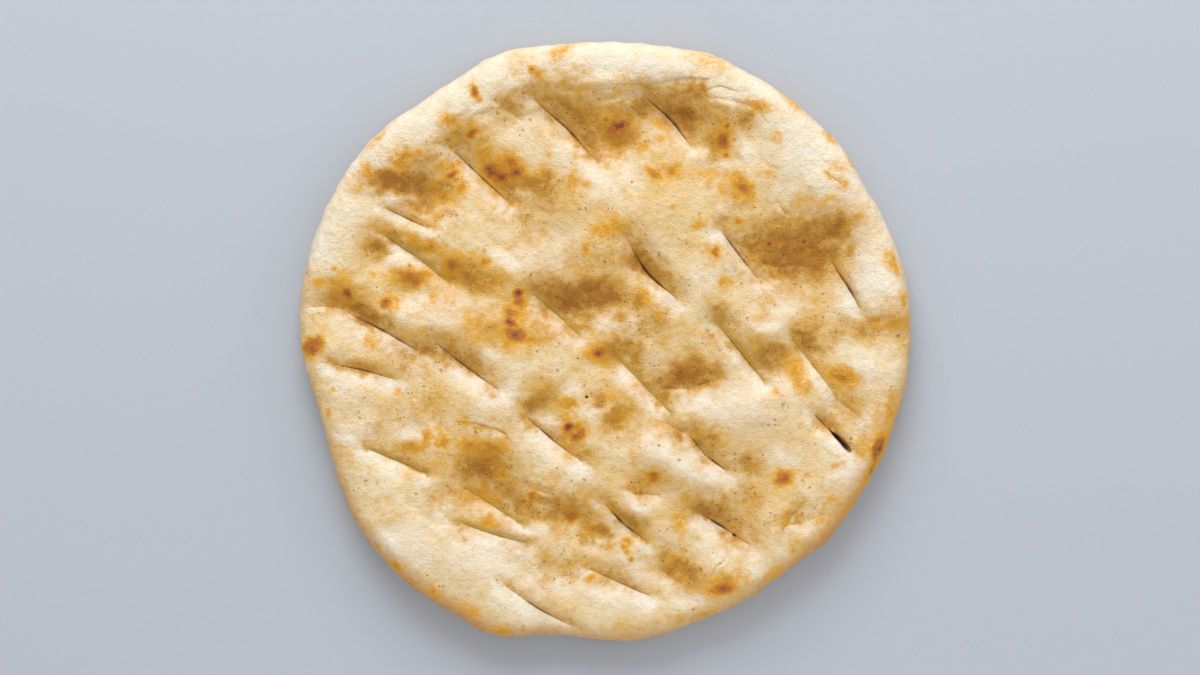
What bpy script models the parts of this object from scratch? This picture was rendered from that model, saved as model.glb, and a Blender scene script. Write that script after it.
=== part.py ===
"""A round slashed naan, baked as one piece: puffed rim, hollows, knife slashes and a flat underside.

Metres, +Z up. The origin is in the middle of the underside, and +Y is the side of the widest puffed rim.
Run with: blender --background --python part.py
"""
import math
from collections import namedtuple

import bmesh
import bpy
import numpy as np
from mathutils import Vector
from mathutils.geometry import delaunay_2d_cdt

# Driving sizes
MEAN_RADIUS = 0.1345
WAIST_HEIGHT = 0.008      # height of the widest line round the bread
RIM_HEIGHT = 0.0205       # mean height of the puffed rim's crest
RIM_TILT = 0.0012         # the crest is this much higher on the puffed side, and lower across from it
RIM_TILT_ANGLE = math.radians(95)
RIM_WIDTH = 0.016         # from the outline in to the rim's crest
RIM_FALL = 0.018          # from the crest in to the crumb's level
EDGE_POWER = 3.2          # over 2, so that the edge is squarer than a quarter circle
CRUMB_HEIGHT = 0.0175
UNDER_WIDTH = 0.017       # from the outline in to the flat of the underside

# Change of the outline's radius every ten degrees, anticlockwise from +X.
OUTLINE_WAVE = (
    0.0006, 0.0011, 0.0000, -0.0007, 0.0007, 0.0002, -0.0002, 0.0005, -0.0015,
    -0.0018, -0.0013, 0.0014, -0.0005, 0.0000, 0.0030, 0.0032, 0.0025, 0.0021,
    0.0004, -0.0027, -0.0033, 0.0003, 0.0035, 0.0042, 0.0040, 0.0045, -0.0025,
    -0.0017, -0.0023, -0.0042, -0.0045, -0.0042, -0.0027, -0.0029, -0.0017, -0.0010,
)

# How finely the surface is divided
STEPS_ROUND = 128
RIM_STEPS = 5
UNDER_STEPS = 3
TOP_STEP = 0.0042
UNDER_STEP = 0.012
SLASH_STATIONS = 8
SHOULDER = 0.0021         # a row of points this far to each side of a slash
RING_GAP = 0.0027         # how clear of a slash the rim's rings stay
FILL_GAP = 0.0040         # and the even fill
WELD_DISTANCE = 0.00005
ROUNDING = 0.000002       # a point this near to the outline counts as on it
SAME_PLACE = 0.0000001    # points of a plan that are this close count as one
LEAST_GAPE = 0.000000001  # stands in for a gape of nothing where the gape is divided by

# A slash: its two ends, how far its middle bows to the upper right, how deep its valley is,
# how wide the valley is on the lower left and the upper right, and the cut's depth and gape.
Slash = namedtuple("Slash", "start end bow valley lower upper depth gape")
SLASHES = (
    Slash((-0.0330, 0.1085), (-0.0030, 0.0790), 0.0012, 0.0050, 0.010, 0.024, 0.0024, 0.0009),
    Slash((0.0165, 0.1100), (0.0385, 0.0870), 0.0015, 0.0045, 0.009, 0.017, 0.0024, 0.0009),
    Slash((-0.0700, 0.0865), (-0.0430, 0.0615), 0.0000, 0.0042, 0.009, 0.020, 0.0018, 0.0008),
    Slash((-0.0990, 0.0595), (-0.0790, 0.0500), 0.0000, 0.0024, 0.007, 0.008, 0.0014, 0.0007),
    Slash((-0.1010, 0.0485), (-0.0700, 0.0260), 0.0005, 0.0044, 0.009, 0.016, 0.0018, 0.0008),
    Slash((0.0090, 0.0450), (0.0315, 0.0185), -0.0020, 0.0048, 0.010, 0.012, 0.0030, 0.0012),
    Slash((0.0510, 0.0495), (0.0680, 0.0275), 0.0000, 0.0040, 0.009, 0.018, 0.0018, 0.0008),
    Slash((0.1005, 0.0360), (0.1135, 0.0140), 0.0004, 0.0022, 0.009, 0.004, 0.0022, 0.0009),
    Slash((-0.0325, 0.0210), (-0.0120, 0.0025), 0.0004, 0.0040, 0.009, 0.018, 0.0016, 0.0007),
    Slash((0.0500, 0.0075), (0.0710, -0.0185), 0.0000, 0.0045, 0.010, 0.012, 0.0018, 0.0008),
    Slash((0.0830, 0.0010), (0.1030, -0.0255), 0.0004, 0.0022, 0.008, 0.010, 0.0014, 0.0007),
    Slash((-0.1160, 0.0130), (-0.0830, -0.0050), 0.0004, 0.0038, 0.012, 0.012, 0.0020, 0.0009),
    Slash((-0.0760, -0.0010), (-0.0480, -0.0220), -0.0005, 0.0040, 0.012, 0.010, 0.0018, 0.0008),
    Slash((0.0050, -0.0075), (0.0290, -0.0325), 0.0000, 0.0040, 0.010, 0.015, 0.0014, 0.0007),
    Slash((-0.1225, -0.0100), (-0.0945, -0.0170), 0.0006, 0.0026, 0.010, 0.006, 0.0012, 0.0007),
    Slash((0.0925, -0.0325), (0.0995, -0.0395), 0.0000, 0.0026, 0.008, 0.006, 0.0016, 0.0007),
    Slash((0.0990, -0.0390), (0.1092, -0.0497), 0.0003, 0.0022, 0.007, 0.006, 0.0080, 0.0026),
    Slash((-0.0360, -0.0340), (-0.0100, -0.0545), -0.0005, 0.0042, 0.010, 0.014, 0.0018, 0.0008),
    Slash((0.0370, -0.0420), (0.0540, -0.0585), -0.0012, 0.0045, 0.011, 0.011, 0.0036, 0.0013),
    Slash((-0.1060, -0.0480), (-0.0800, -0.0595), 0.0000, 0.0040, 0.009, 0.011, 0.0018, 0.0008),
    Slash((-0.0630, -0.0660), (-0.0370, -0.0825), 0.0000, 0.0030, 0.006, 0.012, 0.0014, 0.0007),
    Slash((-0.0660, -0.0810), (-0.0355, -0.0905), -0.0005, 0.0028, 0.011, 0.006, 0.0014, 0.0007),
    Slash((-0.0010, -0.0725), (0.0180, -0.0895), -0.0010, 0.0036, 0.008, 0.010, 0.0022, 0.0010),
    Slash((0.0405, -0.0760), (0.0645, -0.0912), 0.0000, 0.0042, 0.011, 0.016, 0.0022, 0.0009),
    Slash((-0.0080, -0.1020), (0.0195, -0.1137), 0.0000, 0.0032, 0.011, 0.008, 0.0018, 0.0008),
    Slash((-0.0460, -0.1085), (-0.0150, -0.1275), -0.0008, 0.0018, 0.010, 0.008, 0.0014, 0.0008),
)
# The places in these tables are as they look from 1.1 m above the waist; up on the top they lie closer in.
CLOSER_IN = 0.9895
VALLEY_AT_TIP = 0.60      # share of a valley's depth that is left at the tips of its slash
TIP_REACH = 0.009         # how far a valley runs on past the tips
LOWER_POWER = 1.8         # how its two walls curve: 1 is a straight wall
UPPER_POWER = 1.6
OPEN_GAPE = 0.0018        # a cut that gapes wider than this stands open
OPEN_SKEW = 1.7           # and is widest near its end: 1 is widest in the middle

# A hollow, or where the height is positive a bulge: centre, half-widths, turn in degrees, height.
# The centre of a hollow is the middle of its far wall.
Swell = namedtuple("Swell", "centre long short turn height")
SWELLS = (
    # Hollows behind the far rim
    Swell((-0.043, 0.104), 0.006, 0.005, 0, -0.0030),
    Swell((-0.012, 0.100), 0.016, 0.007, -20, -0.0040),
    Swell((0.007, 0.093), 0.009, 0.008, 0, -0.0042),
    Swell((0.015, 0.104), 0.005, 0.004, 0, -0.0028),
    Swell((0.031, 0.102), 0.012, 0.006, -15, -0.0042),
    Swell((0.051, 0.086), 0.008, 0.007, 0, -0.0046),
    Swell((0.062, 0.099), 0.006, 0.005, 25, -0.0026),
    Swell((-0.064, 0.088), 0.005, 0.006, 0, -0.0028),
    Swell((-0.040, 0.070), 0.018, 0.008, -22, -0.0038),
    Swell((-0.091, 0.070), 0.014, 0.0055, 3, -0.0042),
    Swell((-0.077, 0.066), 0.010, 0.006, 10, -0.0034),
    Swell((-0.033, 0.053), 0.012, 0.006, -10, -0.0026),
    # Hollows across the middle
    Swell((-0.102, 0.042), 0.006, 0.005, 0, -0.0038),
    Swell((-0.062, 0.029), 0.015, 0.006, -17, -0.0038),
    Swell((-0.088, 0.026), 0.007, 0.005, 0, -0.0034),
    Swell((-0.118, 0.019), 0.010, 0.006, -15, -0.0036),
    Swell((-0.012, 0.0205), 0.021, 0.0075, 3, -0.0058),
    Swell((0.019, 0.009), 0.009, 0.008, 0, -0.0030),
    Swell((0.016, 0.035), 0.008, 0.006, -50, -0.0042),
    Swell((0.085, 0.040), 0.017, 0.013, 4, -0.0070),
    Swell((0.105, 0.050), 0.007, 0.006, 20, -0.0028),
    Swell((0.049, 0.012), 0.005, 0.005, 0, -0.0028),
    Swell((0.072, -0.009), 0.011, 0.006, 0, -0.0034),
    Swell((0.090, -0.001), 0.007, 0.006, 0, -0.0030),
    Swell((0.004, -0.005), 0.011, 0.006, 0, -0.0038),
    Swell((0.036, -0.015), 0.011, 0.006, 8, -0.0050),
    Swell((0.024, -0.022), 0.007, 0.006, 0, -0.0024),
    Swell((-0.003, -0.022), 0.005, 0.004, 0, -0.0018),
    Swell((0.023, -0.035), 0.009, 0.004, 0, -0.0020),
    Swell((-0.062, -0.006), 0.010, 0.006, -35, -0.0026),
    Swell((-0.083, -0.003), 0.006, 0.005, -20, -0.0026),
    Swell((-0.031, -0.028), 0.010, 0.006, 45, -0.0036),
    Swell((0.004, -0.033), 0.008, 0.006, 50, -0.0030),
    # Hollows on the near side
    Swell((-0.055, -0.055), 0.010, 0.008, 0, -0.0042),
    Swell((-0.047, -0.066), 0.014, 0.006, -15, -0.0030),
    Swell((-0.071, -0.065), 0.006, 0.004, 0, -0.0020),
    Swell((-0.034, -0.069), 0.006, 0.004, 0, -0.0020),
    Swell((-0.018, -0.076), 0.012, 0.005, 0, -0.0036),
    Swell((0.064, -0.055), 0.006, 0.006, 0, -0.0032),
    Swell((0.062, -0.066), 0.006, 0.005, 0, -0.0024),
    Swell((0.017, -0.063), 0.007, 0.006, 40, -0.0034),
    Swell((0.046, -0.074), 0.009, 0.006, 0, -0.0030),
    Swell((0.060, -0.083), 0.007, 0.005, 0, -0.0022),
    Swell((-0.002, -0.084), 0.008, 0.004, 0, -0.0026),
    Swell((0.035, -0.103), 0.013, 0.006, -40, -0.0036),
    Swell((-0.022, -0.099), 0.018, 0.006, -15, -0.0022),
    Swell((0.122, 0.006), 0.016, 0.006, 8, -0.0030),
    Swell((0.106, -0.028), 0.008, 0.005, 0, -0.0026),
    Swell((0.085, -0.077), 0.007, 0.004, 50, -0.0020),
    Swell((-0.085, -0.034), 0.014, 0.006, 15, -0.0018),
    # Bulges
    Swell((0.086, 0.067), 0.020, 0.010, -32, 0.0018),
    Swell((-0.022, 0.089), 0.013, 0.006, -45, 0.0014),
    Swell((0.072, 0.008), 0.010, 0.007, 0, 0.0024),
    Swell((-0.076, 0.0055), 0.016, 0.008, -8, 0.0022),
    Swell((0.057, -0.030), 0.020, 0.008, 10, 0.0020),
    Swell((0.031, -0.056), 0.018, 0.008, -35, 0.0024),
    Swell((-0.056, -0.026), 0.012, 0.007, -35, 0.0018),
    Swell((-0.056, -0.093), 0.015, 0.007, -15, 0.0018),
    Swell((0.015, -0.074), 0.006, 0.004, -10, 0.0018),
    Swell((0.116, -0.010), 0.010, 0.008, 0, 0.0018),
    Swell((0.125, 0.020), 0.013, 0.012, 0, 0.0016),
)

HOLLOW_SHIFT = 0.85       # how far the deepest point lies beyond the far wall's middle, in half-widths
HOLLOW_WALL = 1.30        # how wide each of its walls is, in half-widths
HOLLOW_POWER = 1.6        # under 2, so that the walls meet in a crisp bottom

CRUST_COLOUR = (0.78, 0.60, 0.36, 1.0)
CRUST_ROUGHNESS = 0.62
SHARP_ANGLE = math.radians(38)


def smooth_step(x):
    """Rise smoothly from 0 to 1 as x goes from 0 to 1."""
    x = np.clip(x, 0, 1)
    return x * x * (3 - 2 * x)


def outline_radius(angle):
    """Give the outline's radius at each angle, on a closed smooth curve through the wave's values."""
    wave = np.array(OUTLINE_WAVE)
    count = len(wave)
    place = np.asarray(angle) / math.tau * count % count
    here = np.floor(place).astype(int) % count
    t = place - np.floor(place)
    before, start = wave[here - 1], wave[here]
    end, after = wave[(here + 1) % count], wave[(here + 2) % count]
    tension = t * (3 * (start - end) + after - before) + 2 * before - 5 * start + 4 * end - after
    return MEAN_RADIUS + start + 0.5 * t * (end - before + t * tension)


def inset_from_outline(x, y):
    """Give how far each place lies inside the outline, measured along its radius."""
    return outline_radius(np.arctan2(y, x)) - np.hypot(x, y) - ROUNDING


def slash_frame(slash, x, y):
    """Give each place's share along the slash, how far past an end it is, and its signed side offset."""
    x, y = x / CLOSER_IN, y / CLOSER_IN
    (x0, y0), (x1, y1) = slash.start, slash.end
    length = math.hypot(x1 - x0, y1 - y0)
    dx, dy = (x1 - x0) / length, (y1 - y0) / length
    along = (x - x0) * dx + (y - y0) * dy
    share = np.clip(along / length, 0, 1)
    bow = slash.bow * np.sin(math.pi * share) ** 2
    side = (y - y0) * dx - (x - x0) * dy - bow
    return share, np.abs(along - share * length), side


def valley_relief(slash, x, y):
    """Give the slope that leads down to a slash from both sides and round its tips."""
    share, past, side = slash_frame(slash, x, y)
    below = side < 0
    reach = np.hypot(past / TIP_REACH, side / np.where(below, slash.lower, slash.upper))
    taper = VALLEY_AT_TIP + (1 - VALLEY_AT_TIP) * np.sin(math.pi * share) ** 2
    power = np.where(below, LOWER_POWER, UPPER_POWER)
    return -slash.valley * taper * np.clip(1 - reach, 0, 1) ** power


def half_gape(slash, share):
    """Give half the cut's width: nothing at both tips, and most near the end where it stands open."""
    skew = OPEN_SKEW if slash.gape > OPEN_GAPE else 1
    return 0.5 * slash.gape * np.sqrt(np.sin(math.pi * share ** skew))


def cut_relief(slash, x, y):
    """Give the narrow cut itself, as deep as it was cut in the middle and nothing at the tips."""
    share, _, side = slash_frame(slash, x, y)
    inside = (share > 0) & (share < 1)
    opening = np.maximum(half_gape(slash, share), LEAST_GAPE)
    return -slash.depth * np.sin(math.pi * share) * np.clip(1 - np.abs(side) / opening, 0, 1) * inside


def swell_relief(swell, x, y):
    """Give one rounded bulge, or one hollow whose centre is the middle of its far wall."""
    turn = math.radians(swell.turn)
    from_x, from_y = x / CLOSER_IN - swell.centre[0], y / CLOSER_IN - swell.centre[1]
    along = (from_x * math.cos(turn) + from_y * math.sin(turn)) / swell.long
    across = (from_y * math.cos(turn) - from_x * math.sin(turn)) / swell.short
    if swell.height < 0:
        across = np.abs(across + HOLLOW_SHIFT) / HOLLOW_WALL
        return swell.height * np.exp(-0.5 * (along ** 2 + across ** HOLLOW_POWER))
    return swell.height * np.exp(-0.5 * (along ** 2 + across ** 2))


def crown_height(x, y):
    """Give the top's height as if it ran out level past its crest, with every hollow and slash in it."""
    lift = RIM_TILT * np.cos(np.arctan2(y, x) - RIM_TILT_ANGLE) * np.hypot(x, y) / MEAN_RADIUS
    fall = smooth_step((inset_from_outline(x, y) - RIM_WIDTH) / RIM_FALL)
    height = RIM_HEIGHT + lift + (CRUMB_HEIGHT - RIM_HEIGHT) * fall
    for slash in SLASHES:
        height = height + valley_relief(slash, x, y) + cut_relief(slash, x, y)
    for swell in SWELLS:
        height = height + swell_relief(swell, x, y)
    return height


def top_height(x, y):
    """Give the top's height, rounded over from the crest down to the waist."""
    short_of_crest = 1 - np.clip(inset_from_outline(x, y) / RIM_WIDTH, 0, 1)
    rise = (1 - short_of_crest ** EDGE_POWER) ** (1 / EDGE_POWER)
    return WAIST_HEIGHT + (crown_height(x, y) - WAIST_HEIGHT) * rise


def under_height(x, y):
    """Give the underside's height: flat on the table, and rounded up to the waist at the edge."""
    short_of_flat = 1 - np.clip(inset_from_outline(x, y) / UNDER_WIDTH, 0, 1)
    return WAIST_HEIGHT * (1 - np.sqrt(1 - short_of_flat ** 2))


def ring(inset, count):
    """Give the points of one ring, this far inside the outline."""
    angles = np.arange(count) * math.tau / count
    radius = outline_radius(angles) - inset
    return np.column_stack([radius * np.cos(angles), radius * np.sin(angles)])


def rim_rings(width, steps):
    """Give the rings that round the edge over: close together at the outline, wider towards the crest."""
    turns = np.arange(1, steps + 1) * math.pi / 2 / steps
    return np.concatenate([ring(width * (1 - math.cos(turn)), STEPS_ROUND) for turn in turns])


def fill(step, inset):
    """Give an even triangular net of points, all of them this far inside the outline."""
    row_step = step * math.sqrt(3) / 2
    rows = int(MEAN_RADIUS / row_step) + 2
    columns = int(MEAN_RADIUS / step) + 3
    row, column = np.meshgrid(np.arange(-rows, rows + 1), np.arange(-columns, columns + 1))
    x = (column + 0.5 * (row % 2)) * step
    y = row * row_step
    kept = inset_from_outline(x, y) > inset
    return np.column_stack([x[kept], y[kept]])


def slash_line(slash, offset, shares):
    """Give the points along a slash at these shares of its length, offset to its upper right."""
    start, end = np.array(slash.start), np.array(slash.end)
    along = end - start
    across = np.array([-along[1], along[0]]) / np.linalg.norm(along)
    to_side = offset + slash.bow * np.sin(math.pi * shares) ** 2
    return (start + shares[:, None] * along + to_side[:, None] * across) * CLOSER_IN


def slash_rows(slash):
    """Give the rows of points of one slash: the cut's bottom, its two lips and two shoulders."""
    shares = np.linspace(0, 1, SLASH_STATIONS + 1)
    inner = shares[1:-1]
    lip = half_gape(slash, inner)
    shoulder_shares = shares[::2]
    shoulder = np.full(len(shoulder_shares), SHOULDER)
    return (
        slash_line(slash, np.zeros(len(shares)), shares),
        slash_line(slash, lip, inner),
        slash_line(slash, -lip, inner),
        slash_line(slash, shoulder, shoulder_shares),
        slash_line(slash, -shoulder, shoulder_shares),
    )


def clear_of_slashes(points, gap):
    """Keep only the points that are further than this gap from every slash."""
    kept = np.ones(len(points), bool)
    for slash in SLASHES:
        _, past, side = slash_frame(slash, points[:, 0], points[:, 1])
        kept &= np.hypot(past, side) > gap
    return points[kept]


def triangulate(outline, chains, loose):
    """Join the plan's points into triangles inside the outline, with an edge along each chain."""
    points = list(outline)
    edges = []
    for chain in chains:
        first = len(points)
        points.extend(chain)
        edges.extend((index, index + 1) for index in range(first, len(points) - 1))
    points.extend(loose)
    border = [list(range(len(outline)))]
    flat = [Vector(point) for point in points]
    found, _, faces, _, _, _ = delaunay_2d_cdt(flat, edges, border, 1, SAME_PLACE)
    return np.array([tuple(point) for point in found]), faces


def top_plan():
    """Lay out the top's triangles: rim rings, an even fill, and rows along every slash."""
    outline = ring(0, STEPS_ROUND)
    rings = clear_of_slashes(rim_rings(RIM_WIDTH, RIM_STEPS), RING_GAP)
    crumb = clear_of_slashes(fill(TOP_STEP, RIM_WIDTH + TOP_STEP / 2), FILL_GAP)
    chains = []
    shoulders = []
    for slash in SLASHES:
        bottom, upper_lip, lower_lip, *sides = slash_rows(slash)
        chains += [bottom, upper_lip, lower_lip]
        shoulders += sides
    return triangulate(outline, chains, np.concatenate([rings, crumb, *shoulders]))


def under_plan():
    """Lay out the underside's triangles."""
    rings = rim_rings(UNDER_WIDTH, UNDER_STEPS)
    flat = fill(UNDER_STEP, UNDER_WIDTH + UNDER_STEP / 2)
    return triangulate(ring(0, STEPS_ROUND), [], np.concatenate([rings, flat]))


def add_sheet(shape, plan, height, facing_up):
    """Lift a plan to its height and add it to the shape."""
    points, faces = plan
    x, y = points[:, 0], points[:, 1]
    corners = [shape.verts.new(place) for place in zip(x, y, height(x, y))]
    for face in faces:
        order = face if facing_up else reversed(face)
        shape.faces.new([corners[index] for index in order])


def make_naan():
    """Join the top and the underside along the waist into one closed body."""
    shape = bmesh.new()
    add_sheet(shape, top_plan(), top_height, True)
    add_sheet(shape, under_plan(), under_height, False)
    bmesh.ops.remove_doubles(shape, verts=shape.verts, dist=WELD_DISTANCE)
    mesh = bpy.data.meshes.new("naan")
    shape.to_mesh(mesh)
    shape.free()
    mesh.shade_smooth()
    mesh.set_sharp_from_angle(angle=SHARP_ANGLE)
    mesh.materials.append(crust_material())
    return bpy.data.objects.new("naan", mesh)


def crust_material():
    """Give the pale golden baked crust."""
    material = bpy.data.materials.new("baked_crust")
    material.use_nodes = True
    shader = material.node_tree.nodes["Principled BSDF"]
    shader.inputs["Base Color"].default_value = CRUST_COLOUR
    shader.inputs["Roughness"].default_value = CRUST_ROUGHNESS
    shader.inputs["Metallic"].default_value = 0.0
    return material


def main():
    for old in list(bpy.data.objects):
        bpy.data.objects.remove(old, do_unlink=True)
    parts = bpy.data.collections.new("naan_parts")
    bpy.context.scene.collection.children.link(parts)
    parts.objects.link(make_naan())


main()
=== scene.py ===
"""The looks of a round slashed naan, in soft daylight from the far side, seen from straight above.

Metres, +Z up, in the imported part's frame. The bread's form repeats the part's named sizes on a finer surface.
"""
import math
import random
from collections import namedtuple
from functools import reduce

import bpy
import numpy as np
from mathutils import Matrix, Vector, noise
from mathutils.geometry import delaunay_2d_cdt


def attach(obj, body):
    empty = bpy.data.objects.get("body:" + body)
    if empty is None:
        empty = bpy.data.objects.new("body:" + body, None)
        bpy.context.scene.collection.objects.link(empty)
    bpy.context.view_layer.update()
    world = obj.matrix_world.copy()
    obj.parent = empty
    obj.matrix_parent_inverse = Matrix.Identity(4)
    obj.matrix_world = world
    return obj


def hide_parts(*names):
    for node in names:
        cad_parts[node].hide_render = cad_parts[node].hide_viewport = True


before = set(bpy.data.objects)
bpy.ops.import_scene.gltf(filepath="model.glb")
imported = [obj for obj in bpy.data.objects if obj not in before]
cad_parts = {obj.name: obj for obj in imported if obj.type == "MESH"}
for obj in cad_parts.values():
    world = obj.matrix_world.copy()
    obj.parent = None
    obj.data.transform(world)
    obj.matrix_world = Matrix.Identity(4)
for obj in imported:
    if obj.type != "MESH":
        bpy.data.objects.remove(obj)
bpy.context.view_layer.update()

# Driving sizes, as in the part
MEAN_RADIUS = 0.1345
WAIST_HEIGHT = 0.008
RIM_HEIGHT = 0.0205
RIM_TILT = 0.0012
RIM_TILT_ANGLE = math.radians(95)
RIM_WIDTH = 0.016
RIM_FALL = 0.018
EDGE_POWER = 3.2
CRUMB_HEIGHT = 0.0175
UNDER_WIDTH = 0.017

# Change of the outline's radius every ten degrees, anticlockwise from +X
OUTLINE_WAVE = (
    0.0006, 0.0011, 0.0000, -0.0007, 0.0007, 0.0002, -0.0002, 0.0005, -0.0015,
    -0.0018, -0.0013, 0.0014, -0.0005, 0.0000, 0.0030, 0.0032, 0.0025, 0.0021,
    0.0004, -0.0027, -0.0033, 0.0003, 0.0035, 0.0042, 0.0040, 0.0045, -0.0025,
    -0.0017, -0.0023, -0.0042, -0.0045, -0.0042, -0.0027, -0.0029, -0.0017, -0.0010,
)

# How finely the surface is divided
STEPS_ROUND = 860
RIM_STEPS = 20
UNDER_STEPS = 9
TOP_STEP = 0.00098
UNDER_STEP = 0.003
SLASH_STEP = 0.0008
SHOULDERS = (0.0004, 0.0010, 0.0017)              # rows of points beside a cut, measured from its lips
CREASE_ROWS = (-0.0009, -0.0004, 0.0004, 0.0009)  # rows of points along a fold
CLEARANCE = 0.4 * TOP_STEP                        # how far the even fill stays off such rows
SPARE_ROWS = 8            # rows of the even fill past the mean radius
ROUNDING = 0.000002       # a point this near to the outline counts as on it
SAME_PLACE = 1e-7         # points nearer than this are one
INSIDE_BORDER = 1         # the triangulation's choice that keeps what the outline holds

# A slash: its two ends, how far its middle bows to the upper right, how deep its valley is, how wide the
# valley is on the lower left and the upper right, and the cut's depth and gape. A fold has no cut.
Slash = namedtuple("Slash", "start end bow valley lower upper depth gape", defaults=(0.0, 0.0))

# A hollow, or where the height is positive a bulge: centre, half-widths, turn in degrees, height
Swell = namedtuple("Swell", "centre long short turn height")

# A patch on the top: centre, half-width, strength of which 1 is the most, length to width, turn in degrees
Patch = namedtuple("Patch", "x y size strength stretch turn", defaults=(1.0, 0))


def metres(*millimetres):
    """Turn lengths in millimetres into metres."""
    return [round(length / 1000, 7) for length in millimetres]


def slashes(*rows):
    """Describe slashes or folds from rows in millimetres, in which each end is two numbers."""
    described = []
    for row in rows:
        x0, y0, x1, y1, *sizes = metres(*row)
        described.append(Slash((x0, y0), (x1, y1), *sizes))
    return tuple(described)


def swells(*rows):
    """Describe swells from rows in millimetres and degrees, in which the centre is two numbers."""
    described = []
    for x, y, long, short, turn, height in rows:
        x, y, long, short, height = metres(x, y, long, short, height)
        described.append(Swell((x, y), long, short, turn, height))
    return tuple(described)


def patches(*rows):
    """Describe patches from rows whose places and half-widths are in millimetres."""
    return tuple(Patch(*metres(*row[:3]), *row[3:]) for row in rows)


# The tables' places are as they look from 1.1 m above the waist. Up on the top they lie closer in.
CLOSER_IN = 0.9895

SLASHES = slashes(
    (-33, 108.5, -3, 79, 1.2, 5, 10, 24, 2.4, 0.9),
    (16.5, 110, 38.5, 87, 1.5, 4.5, 9, 17, 2.4, 0.9),
    (-70, 86.5, -43, 61.5, 0, 4.2, 9, 20, 1.8, 0.8),
    (-99, 59.5, -79, 50, 0, 2.4, 7, 8, 1.4, 0.7),
    (-101, 48.5, -70, 26, 0.5, 4.4, 9, 16, 1.8, 0.8),
    (9, 45, 31.5, 18.5, -2, 4.8, 10, 12, 3, 1.2),
    (51, 49.5, 68, 27.5, 0, 4, 9, 18, 1.8, 0.8),
    (100.5, 36, 113.5, 14, 0.4, 2.2, 9, 4, 2.2, 0.9),
    (-32.5, 21, -12, 2.5, 0.4, 4, 9, 18, 1.6, 0.7),
    (50, 7.5, 71, -18.5, 0, 4.5, 10, 12, 1.8, 0.8),
    (83, 1, 103, -25.5, 0.4, 2.2, 8, 10, 1.4, 0.7),
    (-116, 13, -83, -5, 0.4, 3.8, 12, 12, 2, 0.9),
    (-76, -1, -48, -22, -0.5, 4, 12, 10, 1.8, 0.8),
    (5, -7.5, 29, -32.5, 0, 4, 10, 15, 1.4, 0.7),
    (-122.5, -10, -94.5, -17, 0.6, 2.6, 10, 6, 1.2, 0.7),
    (92.5, -32.5, 99.5, -39.5, 0, 2.6, 8, 6, 1.6, 0.7),
    (99, -39, 109.2, -49.7, 0.3, 2.2, 7, 6, 8, 2.6),
    (-36, -34, -10, -54.5, -0.5, 4.2, 10, 14, 1.8, 0.8),
    (37, -42, 54, -58.5, -1.2, 4.5, 11, 11, 3.6, 1.3),
    (-106, -48, -80, -59.5, 0, 4, 9, 11, 1.8, 0.8),
    (-63, -66, -37, -82.5, 0, 3, 6, 12, 1.4, 0.7),
    (-66, -81, -35.5, -90.5, -0.5, 2.8, 11, 6, 1.4, 0.7),
    (-1, -72.5, 18, -89.5, -1, 3.6, 8, 10, 2.2, 1),
    (40.5, -76, 64.5, -91.2, 0, 4.2, 11, 16, 2.2, 0.9),
    (-8, -102, 19.5, -113.7, 0, 3.2, 11, 8, 1.8, 0.8),
    (-46, -108.5, -15, -127.5, -0.8, 1.8, 10, 8, 1.4, 0.8),
)
VALLEY_AT_TIP = 0.60
TIP_REACH = 0.009
LOWER_POWER = 1.8
UPPER_POWER = 1.6
OPEN_GAPE = 0.0018        # a cut that gapes wider than this stands open
OPEN_SKEW = 1.7           # and is widest near its end: 1 is widest in the middle
LEAST_GAPE = 0.000000001  # keeps the tips, where a cut has no width, out of a division by nothing

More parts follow.
